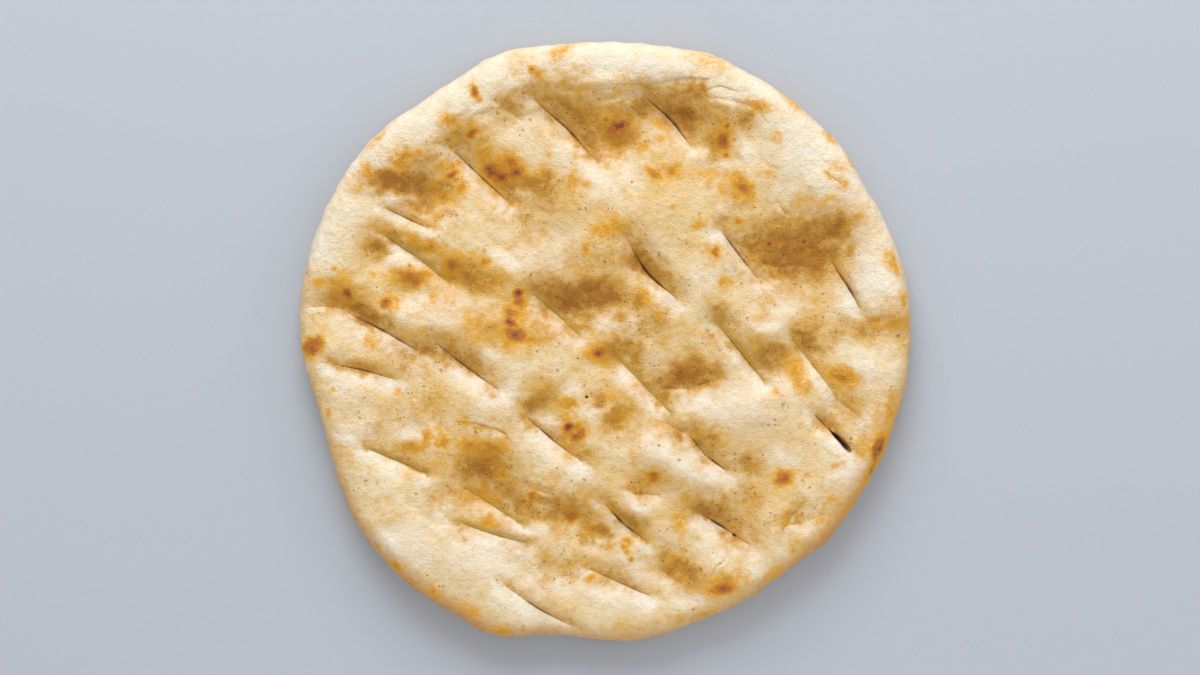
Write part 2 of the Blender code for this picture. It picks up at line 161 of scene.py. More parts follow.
SWELLS = swells(
    # Hollows behind the far rim
    (-43, 104, 6, 5, 0, -3), (-12, 100, 16, 7, -20, -4), (7, 93, 9, 8, 0, -4.2), (15, 104, 5, 4, 0, -2.8),
    (31, 102, 12, 6, -15, -4.2), (51, 86, 8, 7, 0, -4.6), (62, 99, 6, 5, 25, -2.6),
    (-64, 88, 5, 6, 0, -2.8), (-40, 70, 18, 8, -22, -3.8), (-91, 70, 14, 5.5, 3, -4.2),
    (-77, 66, 10, 6, 10, -3.4), (-33, 53, 12, 6, -10, -2.6),
    # Hollows across the middle
    (-102, 42, 6, 5, 0, -3.8), (-62, 29, 15, 6, -17, -3.8), (-88, 26, 7, 5, 0, -3.4),
    (-118, 19, 10, 6, -15, -3.6), (-12, 20.5, 21, 7.5, 3, -5.8), (19, 9, 9, 8, 0, -3),
    (16, 35, 8, 6, -50, -4.2), (85, 40, 17, 13, 4, -7), (105, 50, 7, 6, 20, -2.8),
    (49, 12, 5, 5, 0, -2.8), (72, -9, 11, 6, 0, -3.4), (90, -1, 7, 6, 0, -3), (4, -5, 11, 6, 0, -3.8),
    (36, -15, 11, 6, 8, -5), (24, -22, 7, 6, 0, -2.4), (-3, -22, 5, 4, 0, -1.8), (23, -35, 9, 4, 0, -2),
    (-62, -6, 10, 6, -35, -2.6), (-83, -3, 6, 5, -20, -2.6), (-31, -28, 10, 6, 45, -3.6),
    (4, -33, 8, 6, 50, -3),
    # Hollows on the near side
    (-55, -55, 10, 8, 0, -4.2), (-47, -66, 14, 6, -15, -3), (-71, -65, 6, 4, 0, -2),
    (-34, -69, 6, 4, 0, -2), (-18, -76, 12, 5, 0, -3.6), (64, -55, 6, 6, 0, -3.2),
    (62, -66, 6, 5, 0, -2.4), (17, -63, 7, 6, 40, -3.4), (46, -74, 9, 6, 0, -3), (60, -83, 7, 5, 0, -2.2),
    (-2, -84, 8, 4, 0, -2.6), (35, -103, 13, 6, -40, -3.6), (-22, -99, 18, 6, -15, -2.2),
    (122, 6, 16, 6, 8, -3), (106, -28, 8, 5, 0, -2.6), (85, -77, 7, 4, 50, -2),
    (-85, -34, 14, 6, 15, -1.8),
    # Bulges
    (86, 67, 20, 10, -32, 1.8), (-22, 89, 13, 6, -45, 1.4), (72, 8, 10, 7, 0, 2.4),
    (-76, 5.5, 16, 8, -8, 2.2), (57, -30, 20, 8, 10, 2), (31, -56, 18, 8, -35, 2.4),
    (-56, -26, 12, 7, -35, 1.8), (-56, -93, 15, 7, -15, 1.8), (15, -74, 6, 4, -10, 1.8),
    (116, -10, 10, 8, 0, 1.8), (125, 20, 13, 12, 0, 1.6),
)
HOLLOW_SHIFT = 0.85       # how far a hollow's deepest point lies beyond its far wall's middle, in half-widths
HOLLOW_WALL = 1.30        # how wide each of its walls is, in half-widths
HOLLOW_POWER = 1.6        # under 2, so that the walls meet in a crisp bottom

# Folds of the skin that show one by one; the first four are the far rim's overhanging lip.
CREASES = slashes(
    (7, 113.7, 28, 115.2, 0, 0.6, 6, 0.6), (26, 115.5, 45, 116.3, 0.8, 0.8, 9, 0.6),
    (43, 111.5, 58, 111, 1.8, 0.6, 5, 0.7), (56, 107, 72, 97, 2, 0.5, 5, 2),
    (-30, 110.5, 2, 112, 0.6, 0.6, 7, 3), (-26, 108, -4, 108.8, -1, 0.5, 3.5, 2),
    (10, 107.5, 16, 111, 0, 1, 2, 3), (44, 108, 56, 106.5, 0.6, 0.4, 2.2, 1.2),
    (-49, 106, -38, 98.5, 0, 0.8, 2, 3), (-100, 69, -79, 66.5, -1, 1, 3, 8),
    (-105, 40.5, -90, 39.5, -1.5, 1.2, 2, 6), (-48, 43, -37, 31, 1, 0.5, 6, 3),
    (-133, 15, -115, 14, 0.8, 1.2, 2, 7), (25, -21.5, 49, -17.5, -1.8, 1.4, 2, 9),
    (60, 42, 90, 33, -4, 1, 2.5, 10), (78, 59, 81, 56, 0, 0.9, 1, 2.2),
    (96, 75.5, 104, 70, 0, 0.5, 0.8, 1.4), (114, 8, 129, 8.5, 0.6, 0.6, 4, 4),
    (101, -25, 112, -33, 0, 0.7, 2, 1.6), (80, -83, 87, -73.5, 0.6, 1.2, 4, 1.6),
    (79.5, -82.5, 88, -81, 0, 0.8, 1.6, 3), (47, -105, 52.5, -98, 1, 0.6, 1.2, 1.2),
    (54, -99, 56.5, -89, 0.6, 0.4, 1.2, 1.2), (50, -101, 51, -92, 0.6, 0.4, 1.2, 1.2),
    (9, -67, 21, -69, -0.8, 1, 2, 3), (-67, -36, -48, -40, 0.8, 0.5, 1.6, 1),
    (-48, -40, -42.5, -45, 0.6, 0.5, 1.4, 1), (-24, -123, -10, -129, 0.6, 0.8, 2, 3),
    (-34, -66, -20, -70, 0, 0.7, 2, 4), (29, -38.5, 39, -41, -1, 1.2, 2, 6),
)

# Small taut bumps, each noted by the place where it catches the light, where a highlight is painted in the pale
# skin's colour
NUBS = swells(
    (63.2, 85.5, 3.6, 3, -40, 0.6), (40, 83.8, 11, 2.2, -8, 0.4), (56, 78.8, 6, 2, -8, 0.5),
    (-93, 63.5, 6, 2.5, 0, 0.5), (-79, 47.8, 7, 2.2, -18, 0.4), (-45, 36, 6, 3.5, -30, 0.6),
    (-31, 14, 6, 3, -40, 0.4), (1, 9, 9, 3.4, 0, 0.7), (53, 41, 8, 2.5, -50, 0.3),
    (78.5, 57.2, 2, 1.1, -45, 0.4), (52, 59.2, 3, 2, -20, 0.5), (72, 5.5, 7, 2.6, 15, 0.6),
    (106.5, 15, 5, 3, -30, 0.5), (113, -36, 5, 2.5, 10, 0.6), (110, -57, 7, 4, 20, 0.8),
    (90, -84, 7, 3, 20, 0.6), (65, -104, 6, 3, 25, 0.6), (40, -115.5, 8, 3, 10, 0.6),
    (-95, -90.5, 8, 3, -52, 0.7), (-88, -41.5, 6, 3, 0, 0.6), (-115, -44, 5, 3.5, -30, 0.6),
    (-49.5, -43.5, 3, 2, -20, 0.5), (-15.5, -23, 3, 2.8, 0, 0.6), (-7.5, -31.5, 4, 3, 0, 0.6),
    (-25, -35.5, 4.5, 2.5, 0, 0.6), (40, -28, 10, 4.5, 10, 0.6), (25, -48, 12, 5, -35, 0.6),
    (-51, -6.5, 4, 2, -10, 0.5), (14, -74, 5, 3, -10, 0.8), (-45, -71.7, 5, 1.2, -10, 0.3),
    (-35, 65, 4, 2.2, -5, 0.5), (53, 106.5, 4, 1.2, -5, 0.3),
)
NUB_SHIFT = 0.7           # how far a bump's middle lies nearer than the light it catches, in half-widths
NUB_FULL_GLINT = 0.0006         # a bump of this height has its painted highlight in full

# Toasted patches
TOAST = patches(
    # Far rim
    (-58, 110.5, 1.1, 1.05, 1.7, 95), (-56, 107.5, 1, 0.6), (-38, 126, 3.5, 0.34, 1.5, -20),
    (-33, 121.3, 1.2, 0.75), (-30, 119, 2, 0.55, 1.5, -40), (-20, 128.8, 2, 0.5, 2.4, 35),
    (-11, 120.5, 2.5, 0.35, 1.6), (7, 117.5, 2.2, 0.3, 1.4), (46, 125, 4, 0.36, 2.2, -22),
    (8.5, 113.5, 1, 0.45), (-102, 90.2, 1.6, 0.46, 3, 48), (100, 91.5, 1.6, 0.5, 2, -52),
    (83, 107, 1.8, 0.45, 3, -45), (109, 80, 1.2, 0.45, 3, -60), (68, 104.8, 1.7, 0.6, 2.4, -20),
    # Upper left
    (-69, 97.5, 2.4, 0.62, 1.4, -30), (-59.5, 92.5, 1.6, 1, 1.3, 20), (-60, 94.5, 2.6, 0.45),
    (-55, 83.5, 3, 0.52, 1.5, -60), (-42.5, 80, 2.2, 0.82, 1.6, -60), (-51, 75.5, 2, 1, 1.6, -50),
    (-47, 73.2, 1.8, 1.05, 1.5, 10), (-40.5, 75.5, 1.6, 1, 1.6, 10), (-47, 76.5, 5, 0.62),
    (-33, 73.5, 2.8, 0.5, 1.4, -10), (-26, 83.5, 1.3, 0.48), (-15.5, 70.5, 2.6, 0.52, 1.4, 80),
    (-9, 70, 1.4, 0.45), (-90, 81.2, 3.4, 0.62, 1.4, 20), (-84, 83.5, 1.8, 0.55),
    (-105, 75, 1.8, 0.6, 1.8, -60), (-90.5, 74.5, 0.9, 0.9), (-97.5, 69, 1.4, 0.26, 3.6),
    (-69.5, 78, 2.4, 0.55, 1.8, 20), (-69, 74.2, 1, 0.95, 2.2, 35), (-64.5, 69.3, 1.8, 0.7),
    (-77.2, 69, 2, 0.58), (-72, 64, 2.2, 0.6, 1.6, 5),
    # Behind the far rim, middle and right
    (6, 96, 1.8, 1.12, 1.9, 20), (4, 95, 5.6, 0.5), (0, 99, 0.8, 0.9), (2, 87.5, 2.8, 0.45, 1.3, -60),
    (25, 96, 1.7, 0.48, 2.6, -40), (25, 90.5, 1.2, 0.52), (17.5, 86.8, 1.4, 0.48, 2.2, -40),
    (52, 89.5, 1.7, 1, 1.5, -80), (52.5, 92, 3.8, 0.54), (54, 96, 0.9, 0.9), (54, 83, 1, 0.8),
    (21.5, 74.8, 1.2, 0.8, 2.4, -35), (29, 75.5, 2.4, 0.66), (23.5, 79, 3.6, 0.34),
    (45, 74, 2.4, 0.4, 1.4), (60.5, 69, 2.4, 0.78, 1.9, -50), (52, 67.5, 1.8, 0.48),
    (75.8, 90.5, 2, 0.42, 1.3, -60), (98.5, 73.8, 0.8, 0.44, 3.6, -36), (105, 70, 2.2, 0.48),
    (8, 65, 2.2, 0.32),
    # The large hollow on the right and the right rim
    (73, 43.5, 0.9, 1.3), (88.5, 44.7, 0.8, 1.25), (81.5, 43, 9, 0.22), (90, 37.5, 1.6, 0.45, 3, -10),
    (59, 53, 1.2, 0.7), (98, 63.5, 1.4, 0.42, 2, 20), (127, 35, 2.2, 0.56, 2.2, -60),
    (132, 18.5, 1.3, 0.55, 2.2, -85), (125, 8.5, 3, 0.45, 2, 15), (48.5, 39.5, 1.6, 0.86),
    (47.8, 38.5, 3.4, 0.42), (53, 25.5, 2, 0.62), (17.5, 19.8, 2.8, 0.58), (22, 12, 2.2, 0.45),
    (69, 11, 1.8, 0.4), (94, 17.8, 1.4, 0.42), (88.5, 14.2, 1.1, 0.46), (42, 52.5, 1.9, 0.52, 1.4),
    (30, 60, 1, 0.6), (2, 51, 2.6, 0.55, 2.2, 10), (-4, 50, 1.2, 0.6, 2.6, 30),
    (-9, 41, 1, 0.62, 1.8, 90), (85, -13, 2.8, 0.58, 1.9, -72), (86, -19, 2.4, 0.54),
    (104.5, -15.8, 2.6, 0.76, 1.8, -24), (102, -16, 0.8, 0.9), (75.5, -23, 1.6, 0.48),
    (121, -29, 2.4, 0.38, 1.5, -70),
    # Across the middle and the left
    (-78, 41.5, 2.6, 0.62, 1.4, -15), (-86.5, 45.5, 1.8, 0.5, 1.6, -60), (-68.5, 33.5, 1.8, 0.98),
    (-68, 34.5, 4.8, 0.55), (-54, 35.2, 1.7, 0.76), (-60, 38, 1.5, 0.42), (-54, 40.5, 1.1, 0.42),
    (-87.5, 33.6, 0.6, 0.9), (-87, 29, 2.6, 0.74, 2.2), (-86, 26.8, 1.6, 0.8, 1.8), (-104, 30, 1.3, 0.46),
    (-120.8, 32.5, 0.9, 0.66), (-118, 30, 1.5, 0.5), (-128, 26, 2, 0.5), (-115.2, 21.2, 1.7, 1.02),
    (-117, 21.5, 4.6, 0.52), (-98.2, 17.2, 1.4, 1.05, 1.3), (-96.5, 18, 3.2, 0.58), (-77, 19.5, 1.8, 0.4),
    (-39.2, 21, 1.5, 1.12), (-38.5, 17.5, 2.2, 0.84), (-43, 12.5, 2.6, 0.76), (-43, 8.2, 1.5, 1.05, 1.3),
    (-40.2, 3, 2.4, 1.15, 1.3, -15), (-41.5, 7, 5.2, 0.56, 1.4, 90), (-34, 0.5, 1.4, 0.6, 2.6, -5),
    (-44, -1, 1.4, 0.66), (-61, 11, 2.4, 0.42, 1.8, 75), (-83, 4.5, 2.2, 0.4, 1.5),
    (-104.5, 0, 2.2, 0.54), (-130.5, -2, 2.6, 0.98, 1.3, 40), (-112.3, 73.5, 0.8, 0.4),
    (-3.5, -5, 1.8, 1, 1.3), (-3.5, -5.5, 3.4, 0.62), (-6, 5, 2, 0.38), (-16.6, -28, 2.4, 0.62, 1.3),
    (-17, -38.4, 1.5, 1.15), (-12.2, -42.2, 1.6, 0.98, 1.6, 22), (-17.8, -33, 1.8, 0.5),
    (-15, -39.5, 3.6, 0.6, 1.3, -45), (7, -33, 2.6, 0.44, 1.6, 60), (1, -24, 2.6, 0.34, 1.8, -10),
    (23, -37.2, 1.3, 0.5, 1.4), (-32, -16.5, 1.7, 0.4), (-93, -22.5, 1.3, 0.48), (-121, -21.2, 0.7, 0.62),
    (-123.5, -32.5, 0.8, 0.55, 2, 90),
    # The near side
    (-80, -43, 1.8, 0.6, 1.8, 80), (-86.5, -47, 2.1, 0.62, 2.4, -4), (-73, -45, 2, 0.64, 1.4, -20),
    (-61.5, -46.8, 2.6, 0.62, 1.6, -12), (-51.5, -47.5, 2.8, 0.66, 1.5, 5), (-58, -38, 0.7, 0.58, 9, -12),
    (-44.5, -43, 0.7, 0.5, 4, -55), (-53, -53.2, 1, 0.9, 1.6), (-46.2, -59, 1.8, 0.56),
    (-55, -67.8, 1.4, 0.62), (-33, -69, 1.4, 0.92), (-37, -71.5, 0.8, 0.8), (-7, -68, 3, 0.34, 1.4, 30),
    (21.2, -60.3, 2, 0.8), (21.5, -61, 3.6, 0.42), (12.5, -52, 1.4, 0.36, 2.6, -70),
    (65, -56, 1.4, 0.42, 1.4), (35, -69.8, 1.7, 0.46), (33.5, -80, 3, 0.5, 1.3, 60),
    (79, -61, 2, 0.92, 1.3, 20), (79, -61, 3.4, 0.5), (88.5, -59.2, 1.4, 0.42, 2),
    (102.5, -55, 1, 0.5, 2.6, 20), (87, -71.2, 1.7, 0.4), (80, -81.5, 1.5, 0.44), (95, -79, 2.2, 0.42),
    (54, -106.8, 2.4, 0.72, 2.2, 15), (52.5, -110.2, 1.6, 1.02, 2.4, 8), (84, -92.5, 1, 0.52),
    (-53, -81.5, 1.9, 0.58, 1.5), (-15.5, -78, 1.8, 0.92, 1.3), (-6.5, -85, 1.5, 0.66, 1.5, 30),
    (9.5, -89.3, 1.2, 0.66, 1.6), (8.5, -92.8, 0.9, 0.66, 2, -60), (11, -97.5, 0.8, 0.76),
    (30, -96.3, 1, 0.56, 1.5), (-7, -105.7, 1, 0.66, 1.6, 15), (-22, -84.5, 1.4, 0.34),
    # The near edge
    (-93.5, -100.5, 1.4, 0.62, 1.5, -40), (-101.8, -91.2, 0.8, 0.62), (-76, -112, 1.4, 0.56, 2, -30),
    (-60, -120, 1.8, 0.5, 2.2, -20), (-47, -129, 1.4, 0.52, 2.6, -10), (8, -126.2, 2.2, 0.38, 1.8),
    (33, -123.5, 1.4, 0.46, 2, 10), (43, -121.8, 1.2, 0.46, 2.4, 18), (74, -103.5, 1.6, 0.46, 2.4, 30),
    (121, -47.5, 1.7, 1.02, 2.6, 66), (118, -58, 1.3, 0.74, 4, 60), (126.2, -30, 1.6, 0.52, 4, 78),
    (115, -45, 3, 0.4, 1.6, 60), (122.5, -49, 2.4, 0.56, 2.4, 62), (109, -74, 1.6, 0.5, 3, 55),
    # Faint golden touches
    (-60, 6, 6, 0.34), (-85, 12, 6, 0.28), (-70, 20, 6, 0.3), (-102, -9, 4, 0.36), (-49, -16, 4, 0.34),
    (-30, 4, 5, 0.34), (-108, 20, 4, 0.3), (-12, 32, 8, 0.2, 1.8), (7, 43, 4, 0.34), (87, 60, 5, 0.36),
    (-74, -53, 6, 0.34), (-60, -68, 6, 0.36), (100, -71, 4, 0.4), (42, -38, 5, 0.3), (-20, 118, 4, 0.34),
    (-40, 120, 4, 0.34), (16, 115, 3, 0.3), (125, 18, 4, 0.34), (120, -35, 4, 0.34, 3, 75),
    (-80, -30, 6, 0.36), (-103, -70, 6, 0.28), (35, -66, 5, 0.28), (-3, -65, 5, 0.28), (14, -51, 3, 0.34),
    (66, 0, 5, 0.34), (-30, -18, 5, 0.36), (-15, -45, 6, 0.38), (-12, 111, 5, 0.34), (-64, -36, 3, 0.46),
    (-74, -39, 3, 0.42), (102, 30, 4, 0.36), (52, -43, 5, 0.34), (113, -50, 4, 0.4), (-49, 28, 5, 0.4),
    (-102, 50, 4, 0.36), (71, 74, 4, 0.34), (103, 77, 3, 0.36), (112, 53, 3, 0.34), (-118, -50, 4, 0.34),
    (-105, 20, 3, 0.36), (15, -21, 3, 0.36), (85, -90, 3, 0.38), (100, -76, 3, 0.38), (0, -75, 3, 0.38),
    (-25, -63, 4, 0.34), (-110, 70, 3, 0.34), (-74, -25, 4, 0.34), (-52, -70, 2.2, 0.5, 1.6, -30),
    (-98, -76, 5, 0.32), (-13, -29, 3, 0.36), (93, -83, 3, 0.34), (-88, -60, 3, 0.34),
)
TOAST_SPREAD = 1.40       # how much wider the patches are than their noted middles
GLOW_SIZE = 2.3           # how much wider than a toasted patch the golden glow round it is
GLOW_SHARE = 0.44         # and how strong beside the patch

# Broad ochre stains, mostly where flour and oil settled in the hollows, partly painted shade in the hollows and
# under the lips
TAN_AND_SHADE_PATCHES = patches(
    (-14, 103, 8, 0.7, 1.8, -18), (5, 93, 8, 1), (-28, 110, 5, 0.5, 2), (30, 107, 6, 0.75, 1.9, -12),
    (37, 98, 6, 0.7), (50, 87, 7, 0.65), (61.5, 99.5, 3.6, 0.9, 1.3, 20), (-65, 90, 6, 0.65),
    (-95, 71, 4.5, 1.1, 2.2, 3), (-74, 69, 6, 0.5, 1.6), (-50, 75, 7, 0.6, 1.4, -30),
    (-33, 71, 5, 0.95, 2, -15), (-30, 57, 8, 0.42, 1.4, -20), (79, 43, 10, 1, 1.6, 5),
    (100, 50, 8, 0.85, 1.2, 20), (81, 31, 6, 0.6), (21, 33, 4, 0.75, 2.4, -50), (0, 52, 6, 0.4, 1.5),
    (-14, 19, 8, 1, 2, 2), (8, 16, 8, 0.62), (18, 5, 9, 0.5), (-62, 29, 5, 0.8, 3, -18),
    (-83, 42, 5, 0.62, 2.2, -35), (-99, 42.5, 4, 0.66), (-87, 57, 5, 0.45, 1.8, -20),
    (-87, 27, 4, 0.6, 1.6), (-118, 20, 6, 0.75, 1.8, -20), (-100, 8, 4, 0.62, 3, -30),
    (-66, -6, 5, 0.72, 2.4, -36), (-57, 2, 6, 0.35), (5, -3, 7, 0.7), (40, -14, 7, 0.95, 1.7, 2),
    (22, -18, 5, 0.45, 2, -45), (56, -1, 4, 0.62, 2.6, -50), (73, -6, 6, 0.72, 1.6),
    (90, 1, 5, 0.95, 1.5, -30), (50, 14, 3.5, 0.65), (118, 7, 4, 0.68, 3.2, 8),
    (107, -20, 6, 0.4, 1.4, -30), (-31, -26, 5, 0.75, 1.5, 45), (4, -32, 6, 0.55),
    (-55, -55, 8, 0.8, 1.3, -30), (-44, -67, 6, 0.6, 1.7, -20), (-91, -51, 4, 0.36, 2.6, -20),
    (-20, -75, 6, 0.72, 2), (-3, -85, 5, 0.95, 1.5), (42, -46, 5, 0.72, 1.8, -40), (63, -55, 6, 0.62),
    (17, -65, 5, 0.72), (46, -75, 6, 0.8, 1.6, -10), (60, -83, 5, 0.55, 1.6, -30),
    (11, -81, 4, 0.8, 2.2, -45), (31, -101, 6, 0.72, 1.7, -40), (45, -110, 5, 0.55, 1.5, -20),
    (-98, -37, 5, 0.45, 1.4, 40), (-78, -31, 6, 0.35, 1.6, -30), (75, -36, 10, 0.3),
    (3, -104, 5, 0.5, 2, -20), (99, -36, 5, 0.55, 1.5, -20), (-52, -81, 4, 0.55, 2.4, -10),
    (-110, -12, 3, 0.8, 4, -14), (83, -78, 4, 0.6, 1.8, 55), (-48, -73, 3, 0.6, 3.4, -32),
    (-24, -100, 6, 0.35, 2, -15), (-43, 105, 4, 0.6), (14.5, 104, 3, 0.85, 1.4, -40),
    (-30, -116, 4, 0.4, 3, -35), (52, 74, 6, 0.35), (40, 111, 5, 0.8), (-107, 11.5, 4, 1, 2.6, -25),
    (-80, 66, 4, 0.8), (-76, -5, 5, 0.8, 1.6, -30), (-38, 3, 8, 0.4), (-16, 5, 6, 0.55), (-10, 6, 5, 0.6),
    (-46, 4, 6, 0.6), (16, 34, 4, 0.9, 1.8, -50), (54, 66, 6, 0.6), (-73, 57, 6, 0.5, 1.6, -20),
    (-3, 90, 8, 0.55), (16, 106, 4, 0.8), (27, -22, 4, 0.6), (31, -40, 6, 0.7), (46, -44, 5, 0.8),
    (-36, -73, 5, 0.8, 1.6, -20), (65, -72, 6, 0.6), (-97, 45, 5, 0.4), (80, 41, 10, 1.05, 1.7, 3),
    (71, 31, 4, 0.6), (71, 18, 5, 0.45), (103, 52, 7, 0.9, 1.3, 20), (-88, -8, 6, 0.55, 2, -30),
    (-50, 6, 7, 0.6, 2, -10), (-74, 23, 7, 0.45, 1.5, -20), (-115, 12, 5, 0.5, 1.5, -60),
    (-10, 35, 8, 0.48, 2, 5), (6, 46, 4, 0.5), (13, 17, 4, 0.85), (48, 1, 4, 0.6), (91, 7, 6, 0.6),
    (27, -24, 4, 0.95), (5, -33, 4.5, 0.9, 1.6, 60), (6, -37, 8, 0.5, 1.5), (-3, -26, 4, 0.8),
    (3, -38, 5, 0.75), (23, -27, 4, 0.7), (-52, -21, 4, 0.5), (-34, -37, 4, 0.6),
    (-61, -69, 7, 0.6, 1.5, -20), (-65, -84, 4, 0.6), (-40, -92, 6, 0.4), (-27, -108, 4, 0.5),
    (-2, -107, 3, 0.6, 2, -10), (58, -90, 6, 0.65, 1.3, -20), (77, -80, 5, 0.5), (-20, -85, 5, 0.5),
    (-8, 89, 6, 0.8, 2, -45), (30, 89, 6, 0.45, 1.6, -40), (50, 72, 4, 0.5), (61, 95, 4, 0.5),
    (61, 61, 3, 0.6, 2), (-36, 50, 7, 0.5, 1.3, -60), (-83, 60, 4, 0.7, 2.2, -10), (81, 33, 5, 1, 1.6),
    (109, 40, 3, 0.7, 2, 80), (-98, 49.5, 3, 0.45, 2.5, -8), (88, -22, 4, 0.5), (-30, 3, 5, 0.6, 3),
    (10, -5, 6, 0.9), (-15, -44, 6, 0.65), (-42, 56, 6, 0.5), (-30, 50, 6, 0.5), (47, 70, 4, 0.6),
    (-77, -69, 6, 0.45), (103, 4, 5, 0.5), (109, -34, 5, 0.5), (-21, 93, 5, 0.5), (-35, 98, 4, 0.2),
    (33, 113.8, 3, 0.6, 3, 4), (21, 112, 2.6, 0.75, 1.8), (40, 112, 3, 0.55, 1.5), (-87, 27, 4, 0.8, 1.8),
    (-94, 46, 3, 0.75, 1.5, -20), (8, 5, 4, 0.5), (50, 52, 3, 0.5), (48, -2, 4, 0.5), (86, -4, 3, 0.55),
    (-43, 3, 4, 0.5), (-73, -2, 4, 0.5), (-2, -40, 4, 0.45), (38, -43, 3, 0.45), (-90, -59, 4, 0.35),
    (15, 13, 3, 0.5), (-20, 65, 4, 0.4), (-43, 57, 4, 0.4), (-109, 67, 4, 0.4), (24, 76, 4, 0.45, 2),
    (4, 50, 4, 0.5, 1.6, -40), (-34, 20.5, 3, 0.5), (-48, 0, 4, 0.45, 1.8),
)
TAN_STRENGTH = 0.9

# Pale places, where the skin rose taut and took no colour, and places painted lighter where they face the
# window
PALE_AND_LIT_PATCHES = patches(
    (88, 77, 14, 0.95, 1.4, -40), (121, 28, 9, 1, 1.8, 85), (40, -59, 8, 0.9, 1.6, -30),
    (-106, 88, 10, 0.85, 2, 48), (20, 124, 8, 0.9, 3.5, -3), (-98, 63, 4, 0.95, 2.4, 5),
    (-117, -46, 6, 0.6, 1.4, -40), (12, -102, 5, 0.8, 1.8, -25), (55, -13, 4, 0.8, 2.4, -52),
    (-29, -37, 3, 0.8, 2, -45), (114, -12, 7, 0.8, 1.3), (-126, 46, 8, 1, 1.5, 75),
    (-112, 62, 8, 0.9, 1.5, 60), (-80, 103, 8, 0.85, 1.8, 38), (-62, 113, 7, 0.8, 1.8, 28),
    (1, 78, 8, 0.95, 1.3), (61, 85, 5, 1, 1.4, -60), (-18, 84, 6, 0.7, 1.6, -45),
    (-36, 86, 6, 0.6, 1.8, -40), (58, -31, 14, 0.75, 1.8, 10), (-47, -22, 6, 0.9, 1.8, -38),
    (20, -49, 9, 0.75, 1.6, -40), (-30, -46, 6, 0.6, 1.8, -40), (-55, -97, 10, 0.8, 1.8, -10),
    (-98, -70, 8, 0.2, 1.6, -50), (-108, -38, 10, 0.5, 1.3), (-28, -121, 6, 0.75, 1.8, -30),
    (6, -115, 7, 0.7, 2, -15), (61, -92, 5, 0.7, 1.8, -30), (-80, 11, 9, 0.7, 2, -5),
    (-110, 2, 6, 0.6, 2, -25), (-24, 40, 10, 0.6, 1.4), (42, 28, 7, 0.5, 1.3, -40),
    (75, 22, 8, 0.6, 1.6, 5), (108, 25, 4, 0.7, 2, -60), (-93, 37, 4, 0.8, 1.8, 5),
    (-34, 39, 6, 0.6, 1.4), (4, 114, 5, 0.8, 1.5), (36, 119, 4, 0.8, 2.5, -3),
    (22, 101, 3, 0.7, 1.6, -40), (-30, 118, 4, 0.6), (-63, 83, 5, 0.6, 1.6, -45), (-34, 64, 4, 0.5),
    (-103, 54, 5, 0.7), (-87, 39, 5, 0.95, 1.6, -10), (126, 36, 8, 1, 1.6, -75), (-124, -40, 6, 0.6),
    (-30, -122, 6, 0.8, 1.6, -20), (97, 91, 5, 0.7), (22, 41, 4, 0.7, 1.6, -45), (11, 27, 4, 0.6),
    (55, 36, 5, 0.95, 1.4, -50), (68, 3, 6, 0.7, 1.5), (44, 13, 3, 0.6), (23, -11, 4, 0.6, 1.8),
    (-35, -14, 5, 0.6, 1.4, -30), (-58, -8, 3, 0.6), (-86, -38, 6, 0.7, 1.4, 20), (-53, -36, 5, 0.6),
    (-86, -91, 8, 0.9, 1.5, -35), (80, -53, 6, 0.8, 1.4, -20), (94, -34, 4, 0.7),
    (109, -56, 4, 0.7, 1.5, 50), (28, -89, 4, 0.6, 1.6, -30), (35, -115, 5, 0.7, 1.4),
    (-30, -124, 5, 0.7, 1.6, -20), (79, -95, 5, 0.5, 1.5, 35), (90, 96, 6, 0.9), (64, 29, 3, 0.6),
    (106, 16, 4, 0.6), (52, -20, 7, 0.95), (30, -44, 7, 0.85, 1.6, -45), (-54, -26, 4, 0.8),
    (-10, -113, 4, 0.5), (-116, -18, 5, 0.8), (31, 87, 5, 0.9), (55, 79, 6, 0.9), (42, 84, 4, 0.8),
    (106, -3, 6, 0.6), (-34, 96, 4, 0.6), (-110, 83, 6, 0.8), (6, -96, 5, 0.6), (55, -101, 3, 0.6),
    (-91, 84, 3, 0.8, 1.5, 10), (-84, -44.5, 3, 0.6, 2), (35, -58, 6, 0.7), (113, 20, 3, 0.95, 2.6, -62),
    (-56, -11, 4, 0.6, 1.5, -30),
)

# Slashes whose crease is yellow with oil, by their place in the table
OILY_SLASHES = (4, 8, 9, 13, 19, 20, 21)

BURNT_CRUMBS = patches(
    (-8.8, -24.9, 0.5, 1, 1.5, 60), (-8.2, -24.7, 0.4, 1), (-63.5, -65.7, 0.5, 1),
    (57.3, -86.8, 0.5, 1, 1.8, -30), (10.5, 8.6, 0.5, 0.8),
)

# Random waves: how each octave gets lower and finer than the last, and how the seed shifts them
WAVE_DECAY = 1.0
WAVE_STEP = 2.0
SEED_SHARES = (1, 0.7, 1.3)

# Fine relief: width of one wave, its height, seed and octaves, for the lumps, the puckers and the grain
FINE_WAVES = ((0.0170, 0.00070, 3, 3), (0.0055, 0.00034, 11, 3), (0.0022, 0.00009, 23, 2))
CALM = 0.75               # share of the fine relief that is missing beside a cut
CALM_WIDTH = 0.002        # and how far from it

# Small blisters round the toasted patches: how far off they lie, their radius, and their height in radii
BLISTER_SEED = 5
BLISTER_COUNT = 300
BLISTER_SPREAD = 0.0045
BLISTER_SIZES = (0.0008, 0.0024)
BLISTER_RISES = (0.08, 0.20)
BLISTER_POWER = 1.5

# Small random folds: length, bow and depth in shares of the longest and deepest, and the width of each side
FOLD_SEED = 8
FOLD_LENGTHS = (0.35, 1.0)
FOLD_BOW = 0.06
FOLD_SIDES = (0.0012, 0.0040)
FOLD_DROPS = (0.3, 1.0)

